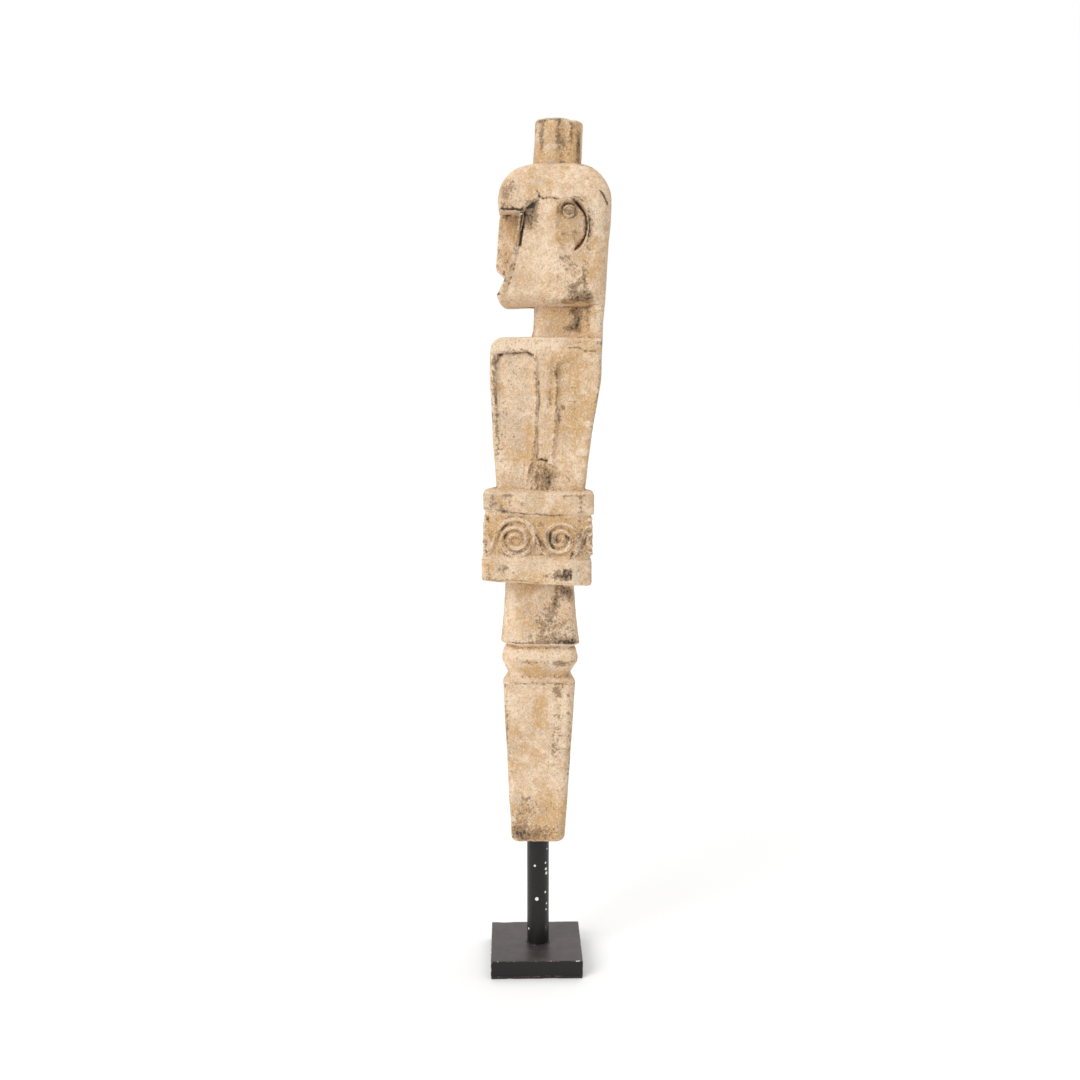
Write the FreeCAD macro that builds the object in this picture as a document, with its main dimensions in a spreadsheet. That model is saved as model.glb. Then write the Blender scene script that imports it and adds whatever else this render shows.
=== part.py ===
import FreeCAD, Part
import os
import Sketcher

# A carved, lime-washed wooden figure that stands on a round black post.
# Millimetres, +Z up. The origin is on the floor, on the post's axis, which is
# the axis that the figure turns about. The figure faces -Y, its left is +X.

V = FreeCAD.Vector

DIMENSIONS = {
    # Stand: block, underlay, post, screw and glue.
    "underlay_thickness": 2.3,
    "underlay_inset": 0.3,
    "block_side": 90,
    "block_thickness": 16,
    "block_edge_break": 0.8,
    "block_offset_y": -2,
    "block_turn": 1.3,
    "post_diameter": 22,
    "post_seat_depth": 8,
    "post_edge_break": 1,
    "screw_diameter": 4,
    "screw_head_diameter": 8,
    "screw_length": 40,
    "screw_head_height": 2.4,
    "screw_tip_length": 5,
    "glue_width": 1.5,
    # Foot of the carving and the socket drilled in it.
    "foot_height": 131.5,
    "foot_bevel": 3.5,
    "foot_side": 52.4,
    "socket_depth": 60,
    "socket_clearance": 0.08,
    # Peg, moulding and flared pillar: heights, sides, and how far each
    # section's middle stands behind the post's axis.
    "edge_chamfer": 4,
    "peg_top_height": 294,
    "peg_top_side": 69,
    "peg_top_shift": 1.4,
    "lower_groove_height": 298.5,
    "lower_groove_side": 55.5,
    "moulding_height": 314.5,
    "moulding_side": 72.5,
    "moulding_flat": 4.5,
    "moulding_round": 3,
    "upper_groove_height": 327.5,
    "upper_groove_side": 64,
    "moulding_shift": 2,
    "pillar_foot_height": 332,
    "pillar_foot_side": 74.7,
    "pillar_top_side": 64,
    "pillar_shift": 1.8,
    "pillar_foot_chamfer": 13,
    "pillar_top_chamfer": 5,
    # Belt: three tiers with a groove between each two.
    "belt_foot_height": 392.5,
    "belt_top_height": 478,
    "belt_side": 106,
    "belt_corner_radius": 8,
    "frieze_foot_height": 418,
    "frieze_top_height": 457,
    "belt_groove_width": 2.5,
    "belt_groove_depth": 2,
    # Torso.
    "torso_top_height": 620.5,
    "torso_foot_front": -38.5,
    "torso_foot_back": 44,
    "torso_top_front": -44.3,
    "back_break_height": 574,
    "torso_top_back": 57.8,
    "torso_foot_half_width": 41,
    "torso_top_half_width": 47,
    "shoulder_radius": 14,
    "torso_corner_radius": 7,
    "panel_top_height": 601,
    "panel_foot_height": 515,
    "panel_half_width": 43.6,
    "arm_front": -3,
    "arm_back": 19,
    "arm_narrowing": 5,
    # Neck and the column behind it.
    "neck_front": -5.5,
    "neck_half_width": 27,
    "neck_corner_radius": 10,
    "column_front": 46,
    "column_half_width": 34,
    # Head.
    "jaw_height": 648,
    "jaw_bevel_height": 9,
    "jaw_bevel_width": 13,
    "head_half_width": 43,
    "chin_front": -38.4,
    "chin_height": 658,
    "nose_root_height": 676,
    "nose_root_front": -32,
    "nose_tip_height": 684,
    "nose_tip_front": -39,
    "nose_half_width": 8,
    "brow_height": 732,
    "brow_depth": 22,
    "face_front": -36.2,
    "dome_spring_height": 742,
    "dome_top_height": 778.6,
    "dome_front_radius": 37.6,
    "dome_back_radius": 40.2,
    "dome_side_radius": 38.5,
    "dome_flat_front": -5,
    "dome_flat_back": 30,
    "dome_flat_half_width": 10,
    "head_back": 67.7,
    "nape_back": 62.2,
    "head_corner_radius": 14,
    "ear_height": 719,
    "ear_back": 23.5,
    "ear_radius": 22,
    "ear_groove_width": 3,
    "ear_groove_depth": 2.5,
    # Topknot: a large front lobe and a small rear one.
    "knot_top_height": 818.6,
    "knot_front": -4,
    "knot_split": 29,
    "knot_back": 41,
    "knot_half_width": 19,
    "knot_rear_half_width": 15,
    "knot_rear_drop": 3,
    "knot_front_radius": 9,
    "knot_rear_radius": 6,
}

# Planes of the outlines: a sketch's own x and y run along these directions.
FLOOR_PLANE = FreeCAD.Rotation()
SIDE_PLANE = FreeCAD.Rotation(V(1, 1, 1), 120)
FRONT_PLANE = FreeCAD.Rotation(V(1, 0, 0), 90)


class Size:
    """A length that knows both its value and its spreadsheet formula."""

    def __init__(self, formula, value):
        self.formula = formula
        self.value = value

    def join(self, sign, other, value):
        return Size(f"({self.formula} {sign} {formula_of(other)})", value)

    def __add__(self, other):
        return self.join("+", other, self.value + value_of(other))

    def __sub__(self, other):
        return self.join("-", other, self.value - value_of(other))

    def __mul__(self, other):
        return self.join("*", other, self.value * value_of(other))

    def __truediv__(self, other):
        return self.join("/", other, self.value / value_of(other))

    def __neg__(self):
        return Size(f"(-1 * {self.formula})", -self.value)


def formula_of(length):
    return length.formula if isinstance(length, Size) else str(length)


def value_of(length):
    return length.value if isinstance(length, Size) else length


class Dimensions:
    """The spreadsheet, with one attribute for each of its aliases."""

    def __init__(self, doc):
        sheet = doc.addObject("Spreadsheet::Sheet", "dims")
        for row, (alias, value) in enumerate(DIMENSIONS.items(), start=1):
            sheet.set(f"A{row}", alias)
            sheet.set(f"B{row}", str(value))
            sheet.setAlias(f"B{row}", alias)
            setattr(self, alias, Size(f"dims.{alias}", value))


def bind(item, prop, length):
    item.setExpression(prop, formula_of(length))


def outline(sketch, corners):
    """Draw a closed outline, anticlockwise, in a sketch.

    A corner is (x, y), or (x, y, radius) where an arc runs to the next one.
    """
    places = [V(value_of(c[0]), value_of(c[1]), 0) for c in corners]
    for index, corner in enumerate(corners):
        start = places[index]
        end = places[(index + 1) % len(places)]
        if len(corner) == 3:
            sketch.addGeometry(bulging_arc(start, end, value_of(corner[2])), False)
        else:
            sketch.addGeometry(Part.LineSegment(start, end), False)
    for index, corner in enumerate(corners):
        following = (index + 1) % len(corners)
        sketch.addConstraint(Sketcher.Constraint("Coincident", index, 2, following, 1))
    for index, corner in enumerate(corners):
        for kind, length in (("DistanceX", corner[0]), ("DistanceY", corner[1])):
            number = sketch.addConstraint(
                Sketcher.Constraint(kind, -1, 1, index, 1, value_of(length)))
            bind(sketch, f"Constraints[{number}]", length)
        if len(corner) == 3:
            number = sketch.addConstraint(
                Sketcher.Constraint("Radius", index, value_of(corner[2])))
            bind(sketch, f"Constraints[{number}]", corner[2])
    return sketch


def bulging_arc(start, end, radius):
    """The short arc from start to end that bulges to the right of the way."""
    way = end - start
    middle = (start + end) / 2
    inward = V(-way.y, way.x, 0).normalize()
    centre = middle + inward * (radius**2 - way.Length**2 / 4) ** 0.5
    circle = Part.Circle(centre, V(0, 0, 1), radius)
    return Part.ArcOfCircle(circle, circle.parameter(start), circle.parameter(end))


def free_sketch(doc, name, plane, corners, height=None):
    """An outline that belongs to the document, at a height of its own."""
    sketch = doc.addObject("Sketcher::SketchObject", name)
    sketch.Placement = FreeCAD.Placement(V(), plane)
    if height is not None:
        bind(sketch, "Placement.Base.z", height)
    return outline(sketch, corners)


def body_sketch(body, name, plane_role, corners):
    """An outline on one of the body's own origin planes."""
    sketch = body.newObject("Sketcher::SketchObject", name)
    plane = [item for item in body.Origin.OriginFeatures if item.Role == plane_role]
    sketch.AttachmentSupport = [(plane[0], "")]
    sketch.MapMode = "FlatFace"
    return outline(sketch, corners)


def extrusion(doc, name, sketch, length, both_ways=False):
    solid = doc.addObject("Part::Extrusion", name)
    solid.Base = sketch
    solid.DirMode = "Normal"
    solid.Solid = True
    solid.Symmetric = both_ways
    bind(solid, "LengthFwd", length)
    return solid


def loft(doc, name, sections):
    solid = doc.addObject("Part::Loft", name)
    solid.Sections = sections
    solid.Solid = True
    solid.Ruled = True
    return solid


def joined(doc, name, kind, shapes):
    result = doc.addObject(kind, name)
    result.Shapes = shapes
    return result


def mirrored(doc, source):
    other = doc.addObject("Part::Mirroring", source.Name + "_right")
    other.Source = source
    other.Normal = V(1, 0, 0)
    return other


def rectangle(half_x, front, back):
    return [(-half_x, front), (half_x, front), (half_x, back), (-half_x, back)]


def rounded_rectangle(half_x, front, back, radius):
    """Corners of a rectangle with round corners; front and back are along y."""
    return [
        (-half_x + radius, front), (half_x - radius, front, radius),
        (half_x, front + radius), (half_x, back - radius, radius),
        (half_x - radius, back), (-half_x + radius, back, radius),
        (-half_x, back - radius), (-half_x, front + radius, radius)]


def chamfered_square(side, shift, front_chamfer, back_chamfer):
    """Corners of a square with its four corners cut off."""
    half = side / 2
    front = -half + shift
    back = half + shift
    return [
        (-half + front_chamfer, front), (half - front_chamfer, front),
        (half, front + front_chamfer), (half, back - back_chamfer),
        (half - back_chamfer, back), (-half + back_chamfer, back),
        (-half, back - back_chamfer), (-half, front + front_chamfer)]


def lower_part(doc, d):
    """Peg, moulding and flared pillar, as one stack of chamfered squares."""
    edge = d.edge_chamfer
    moulding_top = d.moulding_height + d.moulding_flat
    levels = [
        (d.foot_height, d.foot_side - d.foot_bevel * 2, 0, edge),
        (d.foot_height + d.foot_bevel, d.foot_side, 0, edge),
        (d.peg_top_height, d.peg_top_side, d.peg_top_shift, edge),
        (d.lower_groove_height, d.lower_groove_side, d.moulding_shift, edge),
        (d.moulding_height, d.moulding_side, d.moulding_shift, edge),
        (moulding_top, d.moulding_side, d.moulding_shift, edge),
        (d.upper_groove_height - d.moulding_round, d.moulding_side - d.moulding_round,
         d.moulding_shift, edge),
        (d.upper_groove_height, d.upper_groove_side, d.moulding_shift, edge),
        (d.pillar_foot_height, d.pillar_foot_side, d.pillar_shift, d.pillar_foot_chamfer),
        (d.belt_foot_height + 1, d.pillar_top_side, d.pillar_shift, d.pillar_top_chamfer)]
    sections = [
        free_sketch(doc, f"peg_section_{index}", FLOOR_PLANE,
                    chamfered_square(side, shift, chamfer, edge), height)
        for index, (height, side, shift, chamfer) in enumerate(levels)]
    return loft(doc, "peg_and_pillar", sections)


def belt(doc, d):
    """A square core with three wider tiers."""
    half = d.belt_side / 2
    gap = d.belt_groove_width / 2
    core_half = half - d.belt_groove_depth
    core_sketch = free_sketch(
        doc, "belt_core_outline", FLOOR_PLANE,
        rounded_rectangle(core_half, -core_half, core_half, d.belt_corner_radius),
        d.belt_foot_height)
    parts = [extrusion(doc, "belt_core", core_sketch, d.belt_top_height - d.belt_foot_height)]
    tiers = {
        "lower_ring": (d.belt_foot_height, d.frieze_foot_height - gap),
        "frieze": (d.frieze_foot_height + gap, d.frieze_top_height - gap),
        "upper_ring": (d.frieze_top_height + gap, d.belt_top_height)}
    for name, (foot, top) in tiers.items():
        sketch = free_sketch(doc, name + "_outline", FLOOR_PLANE,
                             rounded_rectangle(half, -half, half, d.belt_corner_radius), foot)
        parts.append(extrusion(doc, name, sketch, top - foot))
    return parts


def torso(doc, d):
    """Side outline and front outline cut from one block, with side panels."""
    foot = d.belt_top_height - 1
    shoulder = d.torso_top_height - d.shoulder_radius
    side = free_sketch(doc, "torso_side_outline", SIDE_PLANE, [
        (d.torso_foot_front, foot), (d.torso_foot_back, foot),
        (d.torso_top_back, d.back_break_height), (d.torso_top_back, d.torso_top_height),
        (d.torso_top_front + d.shoulder_radius, d.torso_top_height, d.shoulder_radius),
        (d.torso_top_front, shoulder)])
    front = free_sketch(doc, "torso_front_outline", FRONT_PLANE, [
        (-d.torso_foot_half_width, foot), (d.torso_foot_half_width, foot),
        (d.torso_top_half_width, shoulder, d.shoulder_radius),
        (d.torso_top_half_width - d.shoulder_radius, d.torso_top_height),
        (-d.torso_top_half_width + d.shoulder_radius, d.torso_top_height, d.shoulder_radius),
        (-d.torso_top_half_width, shoulder)])
    plan = free_sketch(doc, "torso_plan_outline", FLOOR_PLANE, rounded_rectangle(
        d.torso_top_half_width, d.torso_top_front, d.torso_top_back,
        d.torso_corner_radius), foot)
    return joined(doc, "torso", "Part::MultiCommon", [
        extrusion(doc, "torso_side", side, d.belt_side, both_ways=True),
        extrusion(doc, "torso_front", front, d.belt_side * 2, both_ways=True),
        extrusion(doc, "torso_plan", plan, d.torso_top_height - foot)])


def torso_panels(doc, d):
    """The two sunk panels that leave the arm standing between them."""
    top = d.panel_top_height
    foot = d.panel_foot_height
    outlines = {
        "front_panel": [
            (d.torso_top_front + 8, foot), (d.arm_front + d.arm_narrowing, foot),
            (d.arm_front, top), (d.torso_top_front + 7, top)],
        "rear_panel": [
            (d.arm_back - d.arm_narrowing, foot), (d.torso_foot_back, foot),
            (d.torso_top_back - 8, top), (d.arm_back, top)]}
    cutters = []
    for name, corners in outlines.items():
        sketch = free_sketch(doc, name + "_outline", SIDE_PLANE, corners)
        bind(sketch, "Placement.Base.x", d.panel_half_width)
        cutter = extrusion(doc, name, sketch, d.torso_top_half_width - d.panel_half_width + 1)
        cutters += [cutter, mirrored(doc, cutter)]
    return cutters


def neck(doc, d):
    """The short neck and the flat column that ties the head to the back."""
    foot = d.torso_top_height - 2
    neck_sketch = free_sketch(doc, "neck_outline", FLOOR_PLANE, rounded_rectangle(
        d.neck_half_width, d.neck_front, d.column_front + 8, d.neck_corner_radius), foot)
    column_sketch = free_sketch(doc, "column_outline", FLOOR_PLANE, rectangle(
        d.column_half_width, d.column_front, d.torso_top_back + 2), foot)
    height = d.jaw_height - foot + 6
    return [extrusion(doc, "neck", neck_sketch, height),
            extrusion(doc, "back_column", column_sketch, height)]


def head(doc, d):
    """Side, front and plan outlines cut from one block."""
    side = free_sketch(doc, "head_side_outline", SIDE_PLANE, [
        (d.chin_front + 8, d.jaw_height), (d.nape_back, d.jaw_height),
        (d.head_back, d.dome_spring_height, d.dome_back_radius),
        (d.dome_flat_back, d.dome_top_height), (d.dome_flat_front, d.dome_top_height,
                                                d.dome_front_radius),
        (d.face_front, d.dome_spring_height), (d.nose_tip_front, d.nose_tip_height),
        (d.nose_root_front, d.nose_root_height), (d.chin_front, d.chin_height)])
    bevel_top = d.jaw_height + d.jaw_bevel_height
    bottom_half = d.head_half_width - d.jaw_bevel_width
    front = free_sketch(doc, "head_front_outline", FRONT_PLANE, [
        (-bottom_half, d.jaw_height), (bottom_half, d.jaw_height),
        (d.head_half_width, bevel_top), (d.head_half_width, d.dome_spring_height,
                                         d.dome_side_radius),
        (d.dome_flat_half_width, d.dome_top_height),
        (-d.dome_flat_half_width, d.dome_top_height, d.dome_side_radius),
        (-d.head_half_width, d.dome_spring_height), (-d.head_half_width, bevel_top)])
    plan = free_sketch(doc, "head_plan_outline", FLOOR_PLANE, rounded_rectangle(
        d.head_half_width, d.nose_tip_front, d.head_back, d.head_corner_radius),
        d.jaw_height)
    return joined(doc, "head", "Part::MultiCommon", [
        extrusion(doc, "head_side", side, d.belt_side, both_ways=True),
        extrusion(doc, "head_front", front, d.belt_side * 2, both_ways=True),
        extrusion(doc, "head_plan", plan, d.dome_top_height - d.jaw_height)])


def face_cutters(doc, d):
    """The hollow beside the nose, from the brow down to the chin."""
    sketch = free_sketch(doc, "face_outline", SIDE_PLANE, [
        (d.chin_front - 5, d.chin_height), (d.chin_front + 1, d.chin_height),
        (d.face_front + d.brow_depth, d.brow_height), (d.chin_front - 5, d.brow_height)])
    bind(sketch, "Placement.Base.x", d.nose_half_width)
    left = extrusion(doc, "face_hollow", sketch, d.head_half_width)
    return [left, mirrored(doc, left)]


def ear_cutters(doc, d):
    """The C-shaped groove behind each ear."""
    inner = d.ear_radius - d.ear_groove_width
    sketch = free_sketch(doc, "ear_outline", SIDE_PLANE, [
        (d.ear_back, d.ear_height - d.ear_radius, d.ear_radius),
        (d.ear_back + d.ear_radius, d.ear_height, d.ear_radius),
        (d.ear_back, d.ear_height + d.ear_radius),
        (d.ear_back, d.ear_height - d.ear_radius + d.ear_radius * 1.9)])
    bind(sketch, "Placement.Base.x", d.head_half_width - d.ear_groove_depth)
    disc = extrusion(doc, "ear_disc", sketch, d.ear_groove_depth + 1)
    core = doc.addObject("Part::Cylinder", "ear_core")
    core.Placement = FreeCAD.Placement(V(), FreeCAD.Rotation(V(0, 1, 0), 90))
    bind(core, "Radius", inner)
    bind(core, "Height", d.head_half_width * 2)
    bind(core, "Placement.Base.y", d.ear_back)
    bind(core, "Placement.Base.z", d.ear_height)
    groove = doc.addObject("Part::Cut", "ear_groove")
    groove.Base = disc
    groove.Tool = core
    return [groove, mirrored(doc, groove)]


def topknot(doc, d):
    """Two upright lobes, the rear one a little lower."""
    foot = d.dome_top_height - 6
    front = free_sketch(doc, "knot_front_outline", FLOOR_PLANE, rounded_rectangle(
        d.knot_half_width, d.knot_front, d.knot_split, d.knot_front_radius), foot)
    rear = free_sketch(doc, "knot_rear_outline", FLOOR_PLANE, rounded_rectangle(
        d.knot_rear_half_width, d.knot_split - d.knot_front_radius, d.knot_back,
        d.knot_rear_radius), foot)
    return [extrusion(doc, "knot_front_lobe", front, d.knot_top_height - foot),
            extrusion(doc, "knot_rear_lobe", rear,
                      d.knot_top_height - d.knot_rear_drop - foot)]


def foot_socket(doc, d):
    socket = doc.addObject("Part::Cylinder", "foot_socket")
    bind(socket, "Radius", d.post_diameter / 2 + d.socket_clearance)
    bind(socket, "Height", d.socket_depth + 1)
    bind(socket, "Placement.Base.z", d.foot_height - 1)
    return socket


def carved_figure(doc, d):
    """The whole carving, one piece of wood from its foot to its topknot."""
    wood = joined(doc, "carving_block", "Part::MultiFuse", [
        lower_part(doc, d), *belt(doc, d), torso(doc, d), *neck(doc, d),
        head(doc, d), *topknot(doc, d)])
    cutters = joined(doc, "carving_cuts", "Part::MultiFuse", [
        *torso_panels(doc, d), *face_cutters(doc, d), *ear_cutters(doc, d),
        foot_socket(doc, d)])
    figure = doc.addObject("Part::Cut", "carved_figure")
    figure.Base = wood
    figure.Tool = cutters
    return figure


def new_body(doc, name):
    body = doc.addObject("PartDesign::Body", name)
    body.Label = name
    return body


def turned(body, profile, name):
    """Revolve a profile in the XZ plane about Z, for a round piece."""
    axis = [item for item in body.Origin.OriginFeatures if item.Role == "Z_Axis"]
    solid = body.newObject("PartDesign::Revolution", name)
    solid.Profile = profile
    solid.ReferenceAxis = (axis[0], [""])
    solid.Angle = 360
    return solid


def padded(body, profile, length, name):
    pad = body.newObject("PartDesign::Pad", name)
    pad.Profile = profile
    bind(pad, "Length", length)
    return pad


def place_on_turned_base(item, d, height):
    """Set a stand plate's place: behind or before the axis and turned a little."""
    item.Placement = FreeCAD.Placement(V(), FreeCAD.Rotation(V(0, 0, 1), 1))
    bind(item, "Placement.Rotation.Angle", d.block_turn)
    bind(item, "Placement.Base.y", d.block_offset_y)
    bind(item, "Placement.Base.z", height)


def base_underlay(doc, d):
    """The thin sheet glued under the block, over the screw's head."""
    body = new_body(doc, "base_underlay")
    half = d.block_side / 2 - d.underlay_inset
    sketch = body_sketch(body, "underlay_outline", "XY_Plane", rectangle(half, -half, half))
    padded(body, sketch, d.underlay_thickness, "underlay_pad")
    place_on_turned_base(body, d, 0)
    return body


def base_block(doc, d):
    """The square block, with a seat for the post and a hole for the screw."""
    body = new_body(doc, "base_block_blank")
    half = d.block_side / 2
    sketch = body_sketch(body, "block_outline", "XY_Plane", rectangle(half, -half, half))
    pad = padded(body, sketch, d.block_thickness, "block_pad")
    doc.recompute()
    rims = [f"Edge{number}" for number, edge in enumerate(pad.Shape.Edges, start=1)
            if edge.BoundBox.ZMin > d.underlay_thickness.value or edge.BoundBox.ZLength > 1]
    chamfer = body.newObject("PartDesign::Chamfer", "block_edges")
    chamfer.Base = (pad, rims)
    bind(chamfer, "Size", d.block_edge_break)
    place_on_turned_base(body, d, d.underlay_thickness)
    top = d.underlay_thickness + d.block_thickness
    seat = doc.addObject("Part::Cylinder", "post_seat")
    bind(seat, "Radius", d.post_diameter / 2)
    bind(seat, "Height", d.post_seat_depth + 1)
    bind(seat, "Placement.Base.z", top - d.post_seat_depth)
    shank_hole = doc.addObject("Part::Cylinder", "shank_hole")
    bind(shank_hole, "Radius", d.screw_diameter / 2)
    bind(shank_hole, "Height", top)
    countersink = doc.addObject("Part::Cone", "countersink")
    bind(countersink, "Radius1", d.screw_head_diameter / 2)
    bind(countersink, "Radius2", d.screw_diameter / 2)
    bind(countersink, "Height", d.screw_head_height)
    bind(countersink, "Placement.Base.z", d.underlay_thickness)
    block = doc.addObject("Part::Cut", "base_block")
    block.Base = body
    block.Tool = joined(doc, "block_holes", "Part::MultiFuse",
                        [seat, shank_hole, countersink])
    return block


def stand_post(doc, d):
    """The dowel, with a blind pilot hole for the screw in its lower end."""
    body = new_body(doc, "stand_post")
    radius = d.post_diameter / 2
    foot = d.underlay_thickness + d.block_thickness - d.post_seat_depth
    top = d.foot_height + d.socket_depth
    pilot = d.screw_diameter / 2
    pilot_top = d.underlay_thickness + d.screw_length
    edge = d.post_edge_break
    sketch = body_sketch(body, "post_profile", "XZ_Plane", [
        (pilot, foot), (radius, foot), (radius, top - edge), (radius - edge, top),
        (0, top), (0, pilot_top), (pilot, pilot_top)])
    turned(body, sketch, "post_turning")
    return body


def post_screw(doc, d):
    """A countersunk wood screw; its thread is a plain shank of the thread's size."""
    body = new_body(doc, "post_screw")
    head_radius = d.screw_head_diameter / 2
    radius = d.screw_diameter / 2
    foot = d.underlay_thickness
    tip = foot + d.screw_length
    sketch = body_sketch(body, "screw_profile", "XZ_Plane", [
        (0, foot), (head_radius, foot), (radius, foot + d.screw_head_height),
        (radius, tip - d.screw_tip_length), (0, tip)])
    turned(body, sketch, "screw_turning")
    return body


def foot_glue(doc, d):
    """The bead of glue that squeezed out round the post's foot."""
    body = new_body(doc, "foot_glue")
    radius = d.post_diameter / 2
    foot = d.underlay_thickness + d.block_thickness
    sketch = body_sketch(body, "glue_profile", "XZ_Plane", [
        (radius, foot), (radius + d.glue_width, foot), (radius, foot + d.glue_width)])
    turned(body, sketch, "glue_turning")
    return body


def check(doc, nodes):
    for item in doc.Objects:
        if "Invalid" in item.State or "Error" in item.State:
            raise RuntimeError(f"{item.Name} failed: {item.State}")
    for node in nodes:
        shape = node.Shape
        if shape.isNull() or not shape.isValid() or len(shape.Solids) != 1:
            raise RuntimeError(f"{node.Label} is not one valid solid")
        box = shape.BoundBox
        print(f"{node.Label}: {shape.Volume:.0f} mm3, x {box.XMin:.2f} {box.XMax:.2f}, "
              f"y {box.YMin:.2f} {box.YMax:.2f}, z {box.ZMin:.2f} {box.ZMax:.2f}")


def main():
    doc = FreeCAD.newDocument("tiki_figure")
    d = Dimensions(doc)
    doc.recompute()
    nodes = [build(doc, d) for build in (
        carved_figure, stand_post, base_block, base_underlay, post_screw, foot_glue)]
    doc.recompute()
    check(doc, nodes)
    os.makedirs("parts", exist_ok=True)
    for node in nodes:
        node.Shape.exportStep(f"parts/{node.Label}.step")


main()
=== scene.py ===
import math

import bmesh
import bpy
import numpy as np
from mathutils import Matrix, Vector


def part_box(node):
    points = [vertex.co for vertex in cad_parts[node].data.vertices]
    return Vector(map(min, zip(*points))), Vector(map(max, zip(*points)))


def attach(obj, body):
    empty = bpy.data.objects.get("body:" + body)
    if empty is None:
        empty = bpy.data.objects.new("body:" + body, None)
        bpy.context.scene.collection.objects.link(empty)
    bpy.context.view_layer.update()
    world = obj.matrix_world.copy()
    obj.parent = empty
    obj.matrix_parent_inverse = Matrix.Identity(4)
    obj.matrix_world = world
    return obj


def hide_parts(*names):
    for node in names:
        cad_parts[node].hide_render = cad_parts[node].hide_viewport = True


# The carving is worked out in millimetres as a signed distance field, meshed,
# and scaled to metres. Distances below zero are inside the wood.
MM = 0.001
GRID = 1.0
FAR = 6.0
NOWHERE = 1e9
NOISE_CELLS = 32
ROOT_HALF = 0.707


# ---------------------------------------------------------------- fields

def smooth_max(a, b, k):
    """The larger of two fields, with the edge where they meet rounded off."""
    overlap = np.maximum(k - np.abs(a - b), 0) / k
    return np.maximum(a, b) + overlap * overlap * k * 0.25


def smooth_min(a, b, k):
    return -smooth_max(-a, -b, k)


def step_up(value, start, end):
    """Smooth rise from 0 at start to 1 at end."""
    t = np.clip((value - start) / (end - start), 0, 1)
    return t * t * (3 - 2 * t)


def bell(value, middle, width):
    """1 at the middle, falling away smoothly over a width."""
    return np.exp(-((value - middle) / width) ** 2)


def curve_at(height, points):
    """Straight-line interpolation through (height, value) pairs."""
    heights = [point[0] for point in points]
    values = [point[1] for point in points]
    return np.interp(height, heights, values)


def soft_curve_at(height, points, reach):
    """The same line with its corners worn round over a reach."""
    offsets = np.linspace(-reach, reach, 5)
    return sum(curve_at(height + offset, points) for offset in offsets) / len(offsets)


def distance_to_path(a, b, path):
    """Distance from points (a, b) to a polyline given by its corner points."""
    best = np.full(np.broadcast(a, b).shape, NOWHERE)
    for (a0, b0), (a1, b1) in zip(path, path[1:]):
        along_a = a1 - a0
        along_b = b1 - b0
        length2 = along_a**2 + along_b**2
        t = np.clip(((a - a0) * along_a + (b - b0) * along_b) / length2, 0, 1)
        best = np.minimum(best, np.hypot(a - a0 - t * along_a, b - b0 - t * along_b))
    return best


def near_path(a, b, path, width):
    """1 on a polyline, falling away smoothly over a width."""
    return bell(distance_to_path(a, b, path), 0, width)


def corners_of(cell, t):
    """The eight corners of each point's cell, with their weights in the blend."""
    for corner in np.ndindex(2, 2, 2):
        yield cell + corner, np.prod(np.where(corner, t, 1 - t), axis=1)


def lattice_noise(points, size, seed):
    """Smooth random values from -1 to 1, with bumps of about the given size."""
    draw = np.random.default_rng(seed)
    table = draw.uniform(-1, 1, (NOISE_CELLS,) * 3).astype(np.float32)
    place = points / np.asarray(size, float)
    cell = np.floor(place)
    t = place - cell
    t = t * t * (3 - 2 * t)
    cell = cell.astype(int)
    total = np.zeros(len(points))
    for corner, weight in corners_of(cell, t):
        total += weight * table[tuple((corner % NOISE_CELLS).T)]
    return total


def rough_noise(points, size, seed, octaves=3):
    total = np.zeros(len(points))
    for octave in range(octaves):
        total += lattice_noise(points, np.asarray(size, float) / 2**octave,
                               seed + octave) / 2**octave
    return total / 1.6


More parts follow.
